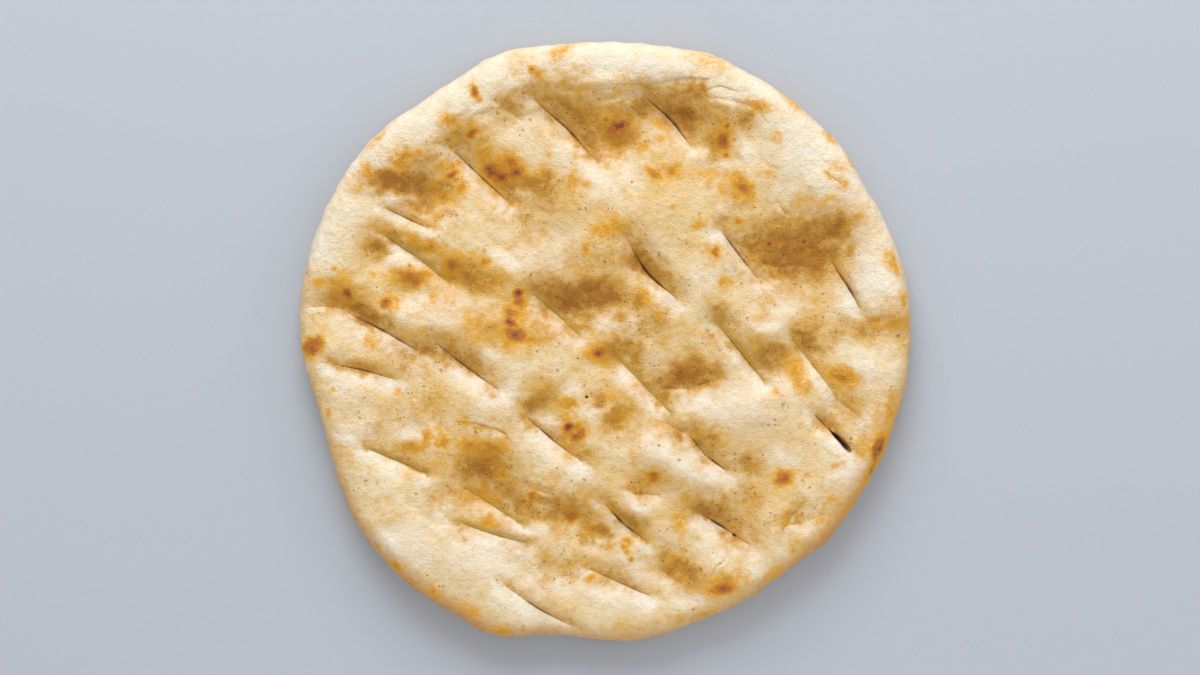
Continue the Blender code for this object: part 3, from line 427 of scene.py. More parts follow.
# Those along the far rim's foot: their angle and its spread in degrees, how far inside the rim they lie, the
# spread of their turn, and the length and depth of the largest
FOOT_FOLDS = 70
FOOT_ANGLES = (105, 24)
FOOT_INSETS = (-0.002, 0.018)
FOOT_TURN_SPREAD = 0.2
FOOT_LARGEST = (0.018, 0.00045)

# Those across the crumb: how far out they lie at most, their turn and its spread in degrees, and the largest
CRUMB_FOLDS = 150
CRUMB_REACH = 0.115
CRUMB_TURNS = (-35, 45)
CRUMB_LARGEST = (0.013, 0.00032)

# A cut's lips roll over it within this width and leave a share of its gape open, which changes along it.
ROLL_WIDTH = 0.0016
CREASE_SHARE = 0.32
CREASE_CHANGE = 0.30
LEAST_SHARE = 0.12
CREASE_DEPTH = 0.38       # share of a cut's depth that its closed lips leave open

# A cut's dark line, painted shade in its crease over the crust's brown: how soft it is on the lower left, on
# the upper right and past its tips, and how strong
LINE_BLUR = (0.0003, 0.0007)
LINE_TIP_BLUR = 0.0008
LINE_AT_TIP = 0.25
LINE_STRENGTH = 0.80
LINE_CHANGE = 0.7
LEAST_LINE = 0.30
DARK_CUT = 0.0020         # a cut this deep has the darkest line
OPEN_CUT_SHADE = 3.0      # over 1, so that a cut that stands open has painted shade nearly to its tips
OPEN_CUT_DARKEST = 0.75

# The browned face that a cut opened on its upper right, partly painted shade on that side turned from the
# window, the pale lip on its lower left, partly painted light, and the oil in it
FACE_WIDTH = 0.0042
FACE_AT_TIP = 0.35
FACE_TIP_REACH = 0.0025
SIDE_BLUR = 0.0006
FACE_BLUR = 0.0004
LIP_GAIN = 1.6
OIL_WIDTHS = (0.0016, 0.0005)

# The browned outer edge, partly painted shade on the near side that is turned from the window: the middle and
# half-width of its two stretches in degrees, then its width and its strength, each all round, added on the near
# side and added along the stretches
BROWNED_RIGHT = (-27, 33)
BROWNED_LEFT = (-122, 24)
NEAR_SIDE = 0.09
EDGE_WIDTHS = (0.0018, 0.0018, 0.0036)
EDGE_STRENGTHS = (0.15, 0.35, 0.50)
LEFT_WIDTH = 0.7          # what the left stretch has of the right one's width
LEFT_STRENGTH = 0.8       # and of its strength

# Painted shade, painted light and stains that follow the form: where each starts, and over how much it rises to
# the full
SHADE_SLANT = (0.08, 0.28)      # by how far the slope is turned to the near side, away from the window: painted shade
SHADED = (-0.02, 0.26)          # by the same
LIGHT_SLANT = (0.02, 0.34)        # by how far it is turned to the far side, towards the window: painted light
RAISED = (0.0165, 0.0055)       # by height: pale skin on the raised crests, partly painted highlight
OFF_THE_EDGE = (0, 0.014)       # by inset from the outline
RIM_TOP_INSET = (0.014, 0.008)  # by inset, where the painted light on the rim's top ends
RIM_TOP_FROM = (-0.02, 0.10)    # by Y, so that only the rim on the far side, towards the window, gets it
SLOPE_SHADE_PAINT = 0.45       # how much painted shade, in the ochre stain's colour, the steep slopes get that lie turned away from the window and the pale crests
VALLEY_STAIN_AND_SHADE = 0.60       # the stain on the valley right above a cut, partly painted shade on its slope turned from the window
DEEP_HOLLOW = 0.0050      # a hollow this deep has its stain in full, partly painted shade
HOLLOW_SOFTNESS = 0.45
TAUT_CLEAN = 0.55         # share of such stains and painted shade that is missing where the skin is taut and where light is painted
SLOPE_LIGHT_PAINT = 0.75
RAISED_PALE_AND_LIGHT = 0.55
RIM_TOP_LIGHT_PAINT = 0.78
SHADED_PALE = 0.5         # share of the paleness that is missing on slopes turned from the window: painted shade

# The patches' edges are pulled about by waves of this width, this far, and in full from this half-width up.
PULL_WIDTH = 0.006
PULL_SEEDS = (31, 47)
PULL_REACH = 0.0022
PULLED_SIZE = 0.005
BUMP_PULL, GLOW_PULL, TAN_PULL, CRUMB_PULL = 0.4, 1.5, 1.8, 0.2
CHANGE_WIDTH = 0.009      # the cuts change along their length in waves of this width
CHANGE_SEED = 61
SHARP_ANGLE = math.radians(50)


def smooth_step(x):
    """Rise smoothly from 0 to 1 as x goes from 0 to 1."""
    x = np.clip(x, 0, 1)
    return x * x * (3 - 2 * x)


def ramp(values, start, width):
    """Rise smoothly from 0 where the values are at the start to 1 where they are this much further."""
    return smooth_step((values - start) / width)


def bell(along, across, power=2):
    """Fall smoothly from 1 at no distance along and across."""
    return np.exp(-0.5 * (along ** 2 + across ** power))


def turned(from_x, from_y, degrees):
    """Give how far each place lies along and across a direction."""
    turn = math.radians(degrees)
    along = from_x * math.cos(turn) + from_y * math.sin(turn)
    return along, from_y * math.cos(turn) - from_x * math.sin(turn)


def most(cover, things, x, y):
    """Give at each place the most that any one of these things covers it."""
    return reduce(np.maximum, (cover(thing, x, y) for thing in things))


# The bread's form, as in the part


def outline_radius(angle):
    """Give the outline's radius at each angle, on a closed smooth curve through the wave's values."""
    wave = np.array(OUTLINE_WAVE)
    count = len(wave)
    place = np.asarray(angle) / math.tau * count % count
    here = np.floor(place).astype(int) % count
    t = place - np.floor(place)
    before, start = wave[here - 1], wave[here]
    end, after = wave[(here + 1) % count], wave[(here + 2) % count]
    tension = t * (3 * (start - end) + after - before) + 2 * before - 5 * start + 4 * end - after
    return MEAN_RADIUS + start + 0.5 * t * (end - before + t * tension)


def inset_from_outline(x, y):
    """Give how far each place lies inside the outline, measured along its radius."""
    return outline_radius(np.arctan2(y, x)) - np.hypot(x, y) - ROUNDING


def slash_frame(slash, x, y):
    """Give each place's share along the slash, how far past an end it is, and its signed side offset."""
    x, y = x / CLOSER_IN, y / CLOSER_IN
    (x0, y0), (x1, y1) = slash.start, slash.end
    length = math.hypot(x1 - x0, y1 - y0)
    dx, dy = (x1 - x0) / length, (y1 - y0) / length
    along = (x - x0) * dx + (y - y0) * dy
    share = np.clip(along / length, 0, 1)
    bow = slash.bow * np.sin(math.pi * share) ** 2
    side = (y - y0) * dx - (x - x0) * dy - bow
    return share, np.abs(along - share * length), side


def closeness(past, side, width, tip=TIP_REACH):
    """Give how near each place is to a slash: 1 on its line, 0 from this width off or this far past a tip."""
    return np.clip(1 - np.hypot(past / tip, side / width), 0, 1)


def valley_relief(slash, x, y):
    """Give the slope that leads down to a slash from both sides and round its tips."""
    share, past, side = slash_frame(slash, x, y)
    below = side < 0
    taper = VALLEY_AT_TIP + (1 - VALLEY_AT_TIP) * np.sin(math.pi * share) ** 2
    near = closeness(past, side, np.where(below, slash.lower, slash.upper))
    return -slash.valley * taper * near ** np.where(below, LOWER_POWER, UPPER_POWER)


def half_gape(slash, share):
    """Give half the cut's width: nothing at both tips, and most near the end where it stands open."""
    skew = OPEN_SKEW if slash.gape > OPEN_GAPE else 1
    return 0.5 * slash.gape * np.sqrt(np.sin(math.pi * share ** skew))


def cut_relief(slash, x, y):
    """Give what is left open of a cut: all where it gapes, and else a crease as deep as its lips leave it."""
    share, _, side = slash_frame(slash, x, y)
    inside = (share > 0) & (share < 1)
    opening = np.maximum(half_gape(slash, share), LEAST_GAPE)
    depth = slash.depth * (1 if slash.gape > OPEN_GAPE else CREASE_DEPTH)
    return -depth * np.sin(math.pi * share) * np.clip(1 - np.abs(side) / opening, 0, 1) * inside


def swell_frame(swell, x, y):
    """Give each place's distance from a swell's centre along and across it, in half-widths."""
    from_x, from_y = x / CLOSER_IN - swell.centre[0], y / CLOSER_IN - swell.centre[1]
    along, across = turned(from_x, from_y, swell.turn)
    return along / swell.long, across / swell.short


def swell_relief(swell, x, y):
    """Give one rounded bulge, or one hollow whose centre is the middle of its far wall."""
    along, across = swell_frame(swell, x, y)
    if swell.height < 0:
        return swell.height * bell(along, np.abs(across + HOLLOW_SHIFT) / HOLLOW_WALL, HOLLOW_POWER)
    return swell.height * bell(along, across)


def nub_relief(x, y):
    """Give the height of the small taut bumps."""
    height = np.zeros(len(x))
    for nub in NUBS:
        along, across = swell_frame(nub, x, y)
        height += nub.height * bell(along, across + NUB_SHIFT)
    return height


def crown_height(x, y):
    """Give the plain top's height as if it ran out level past its crest."""
    lift = RIM_TILT * np.cos(np.arctan2(y, x) - RIM_TILT_ANGLE) * np.hypot(x, y) / MEAN_RADIUS
    fall = ramp(inset_from_outline(x, y), RIM_WIDTH, RIM_FALL)
    return RIM_HEIGHT + lift + (CRUMB_HEIGHT - RIM_HEIGHT) * fall


def top_relief(x, y):
    """Give how far every hollow, bulge and slash takes the top from its plain height."""
    relief = np.zeros(len(x))
    for slash in SLASHES:
        relief = relief + valley_relief(slash, x, y) + cut_relief(slash, x, y)
    for swell in SWELLS:
        relief = relief + swell_relief(swell, x, y)
    return relief


def edge_share(inset, width):
    """Give the share of its full height that a rounded edge has reached, from 0 at the outline."""
    short = 1 - np.clip(inset / width, 0, 1)
    return (1 - short ** EDGE_POWER) ** (1 / EDGE_POWER)


def top_height(x, y, relief):
    """Give the top's height, rounded over from the crest down to the waist."""
    rise = edge_share(inset_from_outline(x, y), RIM_WIDTH)
    return WAIST_HEIGHT + (crown_height(x, y) + relief - WAIST_HEIGHT) * rise


def under_height(x, y):
    """Give the underside's height: flat on the table, and rounded up to the waist at the edge."""
    short_of_flat = 1 - np.clip(inset_from_outline(x, y) / UNDER_WIDTH, 0, 1)
    return WAIST_HEIGHT * (1 - np.sqrt(1 - short_of_flat ** 2))


# The plan of points that the surface hangs on


def ring(inset, count):
    """Give the points of one ring, this far inside the outline."""
    angles = np.arange(count) * math.tau / count
    radius = outline_radius(angles) - inset
    return np.column_stack([radius * np.cos(angles), radius * np.sin(angles)])


def rim_rings(width, steps):
    """Give the rings that round the edge over: close together at the outline, wider towards the crest."""
    turns = np.arange(1, steps + 1) * math.pi / 2 / steps
    return np.concatenate([ring(width * (1 - math.cos(turn)), STEPS_ROUND) for turn in turns])


def fill(step, inset):
    """Give an even triangular net of points, all of them this far inside the outline."""
    row_step = step * math.sqrt(3) / 2
    rows = int(MEAN_RADIUS / row_step) + SPARE_ROWS
    columns = int(MEAN_RADIUS / step) + SPARE_ROWS
    row, column = np.meshgrid(np.arange(-rows, rows + 1), np.arange(-columns, columns + 1))
    x = (column + 0.5 * (row % 2)) * step
    y = row * row_step
    kept = inset_from_outline(x, y) > inset
    return np.column_stack([x[kept], y[kept]])


def across_slash(slash):
    """Give the unit step across a slash, towards its upper right."""
    along = np.array(slash.end) - np.array(slash.start)
    return np.array([-along[1], along[0]]) / np.linalg.norm(along)


def slash_line(slash, offset, shares):
    """Give the points along a slash at these shares of its length, offset to its upper right."""
    start = np.array(slash.start)
    along = np.array(slash.end) - start
    to_side = offset + slash.bow * np.sin(math.pi * shares) ** 2
    return (start + shares[:, None] * along + to_side[:, None] * across_slash(slash)) * CLOSER_IN


def even_shares(slash):
    """Give evenly spaced shares of a slash's length, from one end to the other."""
    return np.linspace(0, 1, int(math.dist(slash.start, slash.end) / SLASH_STEP) + 1)


def slash_rows(slash):
    """Give the rows of points of one slash: the cut's bottom, its two lips, and rows beside them."""
    shares = even_shares(slash)
    inner = shares[1:-1]
    lip = half_gape(slash, inner)
    chains = [slash_line(slash, np.zeros(len(shares)), shares)]
    chains += [slash_line(slash, side * lip, inner) for side in (-1, 1)]
    beside = [slash_line(slash, side * (lip + shoulder), inner) for side in (-1, 1) for shoulder in SHOULDERS]
    return chains, beside


def distance_to_cut(slash, x, y):
    """Give each place's distance from a slash's lips, negative inside the cut."""
    share, past, side = slash_frame(slash, x, y)
    return np.hypot(past, side) - half_gape(slash, share)


def clear_of_lines(points, lines, gap):
    """Keep only the points that are further than this gap from the lips of every slash or fold."""
    kept = np.ones(len(points), bool)
    for line in lines:
        kept &= distance_to_cut(line, points[:, 0], points[:, 1]) > gap
    return points[kept]


def triangulate(outline, chains, loose):
    """Join the plan's points into triangles inside the outline, with an edge along each chain."""
    points = list(outline)
    edges = []
    for chain in chains:
        first = len(points)
        points.extend(chain)
        edges.extend((index, index + 1) for index in range(first, len(points) - 1))
    points.extend(loose)
    border = [list(range(len(outline)))]
    flat = [Vector(point) for point in points]
    found, _, faces, _, _, _ = delaunay_2d_cdt(flat, edges, border, INSIDE_BORDER, SAME_PLACE)
    return np.array([tuple(point) for point in found]), faces


def top_plan():
    """Lay out the top's triangles: rim rings, an even fill, and rows along every slash."""
    even = np.concatenate([rim_rings(RIM_WIDTH, RIM_STEPS), fill(TOP_STEP, RIM_WIDTH + TOP_STEP / 2)])
    even = clear_of_lines(even, SLASHES, SHOULDERS[-1] + CLEARANCE)
    even = clear_of_lines(even, CREASES, CREASE_ROWS[-1] + CLEARANCE)
    chains = []
    loose = [even]
    for slash in SLASHES:
        cut, beside = slash_rows(slash)
        chains += cut
        loose += beside
    for fold in CREASES:
        rows = np.concatenate([slash_line(fold, offset, even_shares(fold)) for offset in (*CREASE_ROWS, 0.0)])
        loose.append(clear_of_lines(rows, SLASHES, SHOULDERS[-1]))
    return triangulate(ring(0, STEPS_ROUND), chains, np.concatenate(loose))


def under_plan():
    """Lay out the underside's triangles."""
    rings = rim_rings(UNDER_WIDTH, UNDER_STEPS)
    flat = fill(UNDER_STEP, UNDER_WIDTH + UNDER_STEP / 2)
    return triangulate(ring(0, STEPS_ROUND), [], np.concatenate([rings, flat]))


def joined_plan():
    """Join the top's and the underside's plans along the waist, and tell which points are the top's."""
    top_points, top_faces = top_plan()
    under_points, under_faces = under_plan()
    shift = len(top_points) - STEPS_ROUND
    faces = [tuple(face) for face in top_faces]
    faces += [tuple(i if i < STEPS_ROUND else i + shift for i in reversed(face)) for face in under_faces]
    plan = np.concatenate([top_points, under_points[STEPS_ROUND:]])
    return plan, faces, np.arange(len(plan)) < len(top_points)


# The surface's own unevenness


def waves(places, width, seed, octaves=3):
    """Give smooth random waves of about this width at each place, mostly between -1 and 1."""
    offset = Vector([seed * share for share in SEED_SHARES])
    shifted = [Vector(place) + offset for place in places / width]
    return np.array([noise.fractal(place, WAVE_DECAY, WAVE_STEP, octaves) for place in shifted])


def random_fold(draw, radius, angle, turn, longest, deepest):
    """Describe one small random fold whose middle lies at this radius and angle."""
    middle = np.array([radius * math.cos(angle), radius * math.sin(angle)])
    half = 0.5 * draw.uniform(*FOLD_LENGTHS) * longest * np.array([math.cos(turn), math.sin(turn)])
    bow = draw.gauss(0, FOLD_BOW) * longest
    widths = (draw.uniform(*FOLD_SIDES), draw.uniform(*FOLD_SIDES))
    drop = draw.uniform(*FOLD_DROPS) * deepest
    return Slash(tuple(middle - half), tuple(middle + half), bow, drop, *widths)


def small_folds(seed):
    """Scatter small folds along the foot of the far rim, and others over the whole crumb."""
    draw = random.Random(seed)
    folds = []
    for _ in range(FOOT_FOLDS):
        angle = math.radians(draw.gauss(*FOOT_ANGLES))
        radius = MEAN_RADIUS - RIM_WIDTH - draw.uniform(*FOOT_INSETS)
        turn = angle + math.pi / 2 + draw.gauss(0, FOOT_TURN_SPREAD)
        folds.append(random_fold(draw, radius, angle, turn, *FOOT_LARGEST))
    for _ in range(CRUMB_FOLDS):
        radius = CRUMB_REACH * math.sqrt(draw.random())
        turn = math.radians(draw.gauss(*CRUMB_TURNS))
        folds.append(random_fold(draw, radius, draw.uniform(0, math.tau), turn, *CRUMB_LARGEST))
    return tuple(folds)


def fold_relief(x, y):
    """Give the depth of every fold of the skin."""
    relief = np.zeros(len(x))
    for fold in CREASES + small_folds(FOLD_SEED):
        relief += valley_relief(fold, x, y)
    return relief


def blisters(places, seed):
    """Give the height of the small blisters that rose round the toasted patches."""
    draw = random.Random(seed)
    height = np.zeros(len(places))
    for _ in range(BLISTER_COUNT):
        patch = draw.choice(TOAST)
        x = patch.x * CLOSER_IN + draw.gauss(0, BLISTER_SPREAD)
        y = patch.y * CLOSER_IN + draw.gauss(0, BLISTER_SPREAD)
        size = draw.uniform(*BLISTER_SIZES)
        rise = size * draw.uniform(*BLISTER_RISES)
        far = np.hypot(places[:, 0] - x, places[:, 1] - y) / size
        height += rise * np.clip(1 - far ** 2, 0, 1) ** BLISTER_POWER
    return height


def near_cut(slash, x, y):
    """Give how close each place is to a cut: 1 in it, 0 where the calm beside it ends."""
    return np.clip(1 - distance_to_cut(slash, x, y) / CALM_WIDTH, 0, 1)


def fine_relief(places, x, y):
    """Give the height of everything finer than the part's own form, calmer beside the cuts."""
    rough = np.zeros(len(places))
    for width, height, seed, octaves in FINE_WAVES:
        rough += height * waves(places, width, seed, octaves)
    rough += blisters(places, BLISTER_SEED)
    return rough * (1 - CALM * most(near_cut, SLASHES, x, y))


def closing_of_cuts(x, y, change):
    """Give how far each place beside a cut rolls over it, so that only a crease is left open."""
    shift = np.zeros((len(x), 2))
    left_open = np.clip(CREASE_SHARE + CREASE_CHANGE * change, LEAST_SHARE, 1)
    for slash in SLASHES:
        if slash.gape > OPEN_GAPE:
            continue
        share, past, side = slash_frame(slash, x, y)
        lip = np.maximum(half_gape(slash, share), LEAST_GAPE)
        rolled = lip * smooth_step(1 - (np.hypot(past, side) - lip) / ROLL_WIDTH)
        pull = np.where(np.abs(side) < lip, np.abs(side), rolled)
        pull = pull * (1 - left_open) * -np.sign(side)
        shift += pull[:, None] * across_slash(slash)
    return shift


# Where the crust has which colour, and where light and shade are painted on it


def nearness(places, spots, warp, spread=1.0):
    """Give how strongly these patches cover each place, widened by the spread, pulled about by the warp."""
    covered = np.zeros(len(places))
    for patch in spots:
        size = patch.size * spread
        pull = min(1, size / PULLED_SIZE)
        from_x = places[:, 0] / CLOSER_IN + warp[:, 0] * pull - patch.x
        from_y = places[:, 1] / CLOSER_IN + warp[:, 1] * pull - patch.y
        along, across = turned(from_x, from_y, patch.turn)
        covered = np.maximum(covered, patch.strength * bell(along / (size * patch.stretch), across / size))
    return covered


def nub_glint_paint(nub, x, y):
    """Give the painted highlight, in the pale skin's colour, where a small bump catches the light."""
    return min(1, nub.height / NUB_FULL_GLINT) * bell(*swell_frame(nub, x, y))


def painted_crease_shade(slash, x, y):
    """Give a cut's dark line, painted shade in its crease: crisp on the lower left, softer on the upper right.
    """
    share, past, side = slash_frame(slash, x, y)
    lip = half_gape(slash, share)
    beyond = np.maximum(np.abs(side) - lip, 0) / np.where(side < 0, *LINE_BLUR)
    strength = LINE_AT_TIP + (1 - LINE_AT_TIP) * np.sin(math.pi * share)
    strength = strength * min(1, slash.depth / DARK_CUT)
    if slash.gape > OPEN_GAPE:
        strength = np.clip(OPEN_CUT_SHADE * np.sin(math.pi * share ** OPEN_SKEW), 0, OPEN_CUT_DARKEST)
    return strength * np.exp(-beyond ** 2 - (past / LINE_TIP_BLUR) ** 2)


def lit_pale_lip(slash, x, y):
    """Give how much each place belongs to the taut pale lip on a slash's lower left, which faces the window:
    partly painted light.
    """
    _, past, side = slash_frame(slash, x, y)
    return smooth_step(closeness(past, side, slash.lower) * LIP_GAIN) * smooth_step(-side / SIDE_BLUR)


def hollow_stain_and_shade(hollow, x, y):
    """Give each place's stain from the hollow that it lies in: partly real, partly painted shade."""
    along, across = swell_frame(hollow, x, y)
    strength = min(1, -hollow.height / DEEP_HOLLOW)
    return strength * np.exp(-HOLLOW_SOFTNESS * (along ** 2 + across ** 2))


def valley_stain_and_shade(slash, x, y):
    """Give each place's stain from the valley on a slash's upper right: partly real, partly painted shade on
    the slope turned from the window.
    """
    _, past, side = slash_frame(slash, x, y)
    return VALLEY_STAIN_AND_SHADE * closeness(past, side, slash.upper) * smooth_step(side / SIDE_BLUR)


def shaded_inner_face(slash, x, y):
    """Give how much each place belongs to the browned face that a cut opened on its upper right, partly painted
    shade on that side turned from the window.
    """
    share, past, side = slash_frame(slash, x, y)
    width = FACE_WIDTH * (FACE_AT_TIP + (1 - FACE_AT_TIP) * np.sin(math.pi * share))
    return closeness(past, side, width, FACE_TIP_REACH) * smooth_step(side / FACE_BLUR)


def oil_in_crease(slash, x, y):
    """Give how much oil shows at each place, in a crease that holds it."""
    _, past, side = slash_frame(slash, x, y)
    return np.exp(-(np.hypot(past, side) / np.where(side > 0, *OIL_WIDTHS)) ** 2)


def along_stretch(angle, middle, half):
    """Give how near each angle is to the middle of a stretch of the edge."""
    return np.exp(-((angle - math.radians(middle)) / math.radians(half)) ** 2)


def edge_browning_and_shade(x, y):
    """Give how browned the rim's outer edge is, partly painted shade on the near side: most on the near right
    and the near left.
    """
    angle = np.arctan2(y, x)
    right = along_stretch(angle, *BROWNED_RIGHT)
    left = along_stretch(angle, *BROWNED_LEFT)
    near = smooth_step(-y / NEAR_SIDE)
    all_round, nearer, stretched = EDGE_WIDTHS
    width = all_round + nearer * near + stretched * np.maximum(right, LEFT_WIDTH * left)
    all_round, nearer, stretched = EDGE_STRENGTHS
    strength = all_round + nearer * near + stretched * np.maximum(right, LEFT_STRENGTH * left)
    return strength * np.exp(-(inset_from_outline(x, y) / width) ** 2)


def crust_masks(places, normals, x, y, change):
    """Give for every point what the crust's colour needs to know, each from 0 to about 1."""
    warp = np.column_stack([waves(places, PULL_WIDTH, seed) for seed in PULL_SEEDS]) * PULL_REACH
    inset = inset_from_outline(x, y)
    facing = normals[:, 1]

    # Painted shade: slopes turned away from the window take the ochre stain's colour
    painted_slope_shade = SLOPE_SHADE_PAINT * ramp(-facing, *SHADE_SLANT) * ramp(inset, *OFF_THE_EDGE)
    pulled = (x + warp[:, 0], y + warp[:, 1])
    hollows = [swell for swell in SWELLS if swell.height < 0]
    # Stains in the hollows and valleys, partly painted shade
    hollow = np.maximum(most(hollow_stain_and_shade, hollows, *pulled), most(valley_stain_and_shade, SLASHES, *pulled))
    # Painted highlights on the small bumps
    bumps = most(nub_glint_paint, NUBS, x + BUMP_PULL * warp[:, 0], y + BUMP_PULL * warp[:, 1])
    # Taut pale skin, with painted light from the pale patches and painted highlights on the bumps
    taut = np.maximum(nearness(places, PALE_AND_LIT_PATCHES, warp), bumps)
    stained_and_shaded = np.maximum(painted_slope_shade, hollow) * (1 - TAUT_CLEAN * taut)
    stained_and_shaded = np.maximum(TAN_STRENGTH * nearness(places, TAN_AND_SHADE_PATCHES, warp * TAN_PULL), stained_and_shaded)

    # The pale lips on the cuts' lower left, partly painted light where they face the window
    taut = np.maximum(most(lit_pale_lip, SLASHES, x, y), taut)
    # Painted light: slopes turned to the window, and partly the raised crests, take the pale skin's colour
    crests = np.maximum(SLOPE_LIGHT_PAINT * ramp(facing, *LIGHT_SLANT), RAISED_PALE_AND_LIGHT * ramp(places[:, 2], *RAISED))
    # Painted shade: the paleness and painted light fade on slopes turned from the window
    pale = np.maximum(crests, taut) * (1 - SHADED_PALE * ramp(-facing, *SHADED))
    # Painted light on the top of the far rim, the side towards the window
    far_rim_light = RIM_TOP_LIGHT_PAINT * (1 - ramp(inset, *RIM_TOP_INSET)) * ramp(y, *RIM_TOP_FROM)
    oily = [SLASHES[index] for index in OILY_SLASHES]
    uneven = np.clip(LINE_STRENGTH + LINE_CHANGE * change, LEAST_LINE, 1)

    return {
        "toast": nearness(places, TOAST, warp, TOAST_SPREAD),
        "glow": nearness(places, TOAST, warp * GLOW_PULL, GLOW_SIZE) * GLOW_SHARE,
        "tan_and_shade": stained_and_shaded,
        # Pale skin, together with the painted light on lit slopes, crests, lips, bumps and the far rim
        "pale": np.maximum(pale, far_rim_light),
        "face": most(shaded_inner_face, SLASHES, x, y),
        "oil": most(oil_in_crease, oily, x, y),
        "edge": edge_browning_and_shade(x, y),
        "burnt": nearness(places, BURNT_CRUMBS, warp * CRUMB_PULL),
        # Painted shade in the cuts' creases
        "cut": most(painted_crease_shade, SLASHES, x, y) * uneven,
    }


# The mesh


def point_normals(mesh):
    """Give the normal at each point of the mesh."""
    normals = np.empty(len(mesh.vertices) * 3, dtype=np.float32)
    mesh.vertex_normals.foreach_get("vector", normals)
    return normals.reshape(-1, 3)


def add_mask(mesh, name, values):
    """Store one number for each point of the mesh, for its material to read."""
    stored = mesh.attributes.new(name, "FLOAT", "POINT")
    stored.data.foreach_set("value", np.asarray(values, dtype=np.float32))


def make_bread():
    """Raise the plan to its form, roughen it, and store what the crust's colour and its painted light and shade
    need.
    """
    plan, faces, on_top = joined_plan()
    x, y = plan[:, 0], plan[:, 1]
    top = top_height(x, y, top_relief(x, y) + fold_relief(x, y) + nub_relief(x, y))
    places = np.column_stack([x, y, np.where(on_top, top, under_height(x, y))])

    mesh = bpy.data.meshes.new("naan_crust")
    mesh.from_pydata(places.tolist(), [], faces)
    mesh.update()
    normals = point_normals(mesh)

    rough = fine_relief(places, x, y)
    rough[~on_top] *= smooth_step(places[~on_top, 2] / WAIST_HEIGHT)
    places = places + normals * rough[:, None]
    change = waves(places, CHANGE_WIDTH, CHANGE_SEED)
    places[:, :2] += closing_of_cuts(x, y, change) * on_top[:, None]
    places[:, 2] = np.maximum(places[:, 2], 0)
    mesh.vertices.foreach_set("co", places.astype(np.float32).ravel())
    mesh.update()
    mesh.shade_smooth()
    mesh.set_sharp_from_angle(angle=SHARP_ANGLE)

    for name, values in crust_masks(places, normals, x, y, change).items():
        add_mask(mesh, name, values * on_top)
    add_mask(mesh, "under", np.where(on_top, 0.0, 1.0))

    bread = bpy.data.objects.new("naan_crust", mesh)
    bpy.context.scene.collection.objects.link(bread)
    return bread


# Materials


def srgb(red, green, blue):
    """Turn a colour as a screen shows it, 0 to 255, into the linear one that shaders take."""
    shares = [channel / 255 for channel in (red, green, blue)]
    linear = [share / 12.92 if share <= 0.04045 else ((share + 0.055) / 1.055) ** 2.4 for share in shares]
    return (*linear, 1.0)


CREAM = srgb(240, 218, 174)
GOLDEN_CREAM = srgb(231, 190, 109)
# Pale skin, also the colour of the painted highlights
PALE_SKIN_AND_HIGHLIGHT = srgb(247, 239, 223)
# Ochre stain colours, also those of the painted shade in hollows and on slopes turned from the window
LIGHT_TAN_AND_SHADE = srgb(215, 162, 57)
DEEP_TAN_AND_SHADE = srgb(170, 109, 22)
HALO_GOLD = srgb(238, 194, 98)
GOLDEN = srgb(229, 165, 12)
GOLDEN_DEEP = srgb(193, 132, 25)
BROWN = srgb(186, 108, 24)
SCORCHED = srgb(126, 62, 46)
CHAR = srgb(52, 40, 26)
# Brown of the outer edge, partly painted shade on its near side
EDGE_BROWN_AND_SHADE = srgb(206, 139, 64)
OIL_YELLOW = srgb(188, 156, 56)
FLECK_BROWN = srgb(166, 110, 44)
SPECK_BROWN = srgb(116, 64, 30)
# Brown of the cuts' faces, partly painted shade
FACE_BROWN_AND_SHADE = srgb(196, 142, 62)
# Painted shade in the cuts' creases
CUT_SHADE = srgb(110, 64, 32)
UNDER_PALE = srgb(232, 204, 152)
UNDER_GOLD = srgb(216, 170, 100)
UNDER_BROWN = srgb(140, 82, 38)

# Widths of the crust's clouds of colour, from the broadest to the finest
UNDER_CLOUDS = 0.0380
BROAD_CLOUDS = 0.0300
TOUCH_CLOUDS = 0.0220
FLECK_CLOUDS = 0.0120
CREAM_CLOUDS = 0.0080
BAKED_CLOUDS = 0.0070
SMALL_TOUCHES = 0.0060
STAIN_CLOUDS = 0.0045
GLOSS_CLOUDS = 0.0034
MOTTLE = 0.0026
BRAN = 0.0015
STIPPLE = 0.0011
GRITTY = 0.0009

# Scattered spots: least size and its spread in radii, where their edge fades, and the blur of which show
SPOT_LEAST = 0.5
SPOT_SPREAD = 0.9
SPOT_FADE = (1.3, 0.7)
CHANCE_BLUR = 0.05


def link_or_set(tree, socket, value):
    """Feed a socket from another node's output, or set it where the value is a plain one."""
    if isinstance(value, bpy.types.NodeSocket):
        tree.links.new(value, socket)
    else:
        socket.default_value = value


def calculate(tree, operation, *values):
    """Add a maths node and give its result."""
    node = tree.nodes.new("ShaderNodeMath")
    node.operation = operation
    for socket, value in zip(node.inputs, values):
        link_or_set(tree, socket, value)
    return node.outputs[0]


def multiply(tree, first, second):
    """Multiply two numbers."""
    return calculate(tree, "MULTIPLY", first, second)


def multiply_add(tree, first, second, added):
    """Multiply two numbers and add a third."""
    return calculate(tree, "MULTIPLY_ADD", first, second, added)


def blend(tree, factor, first, second):
    """Mix two colours by a factor and give the result."""
    node = tree.nodes.new("ShaderNodeMix")
    node.data_type = "RGBA"
    for index, value in ((0, factor), (6, first), (7, second)):
        link_or_set(tree, node.inputs[index], value)
    return node.outputs[2]


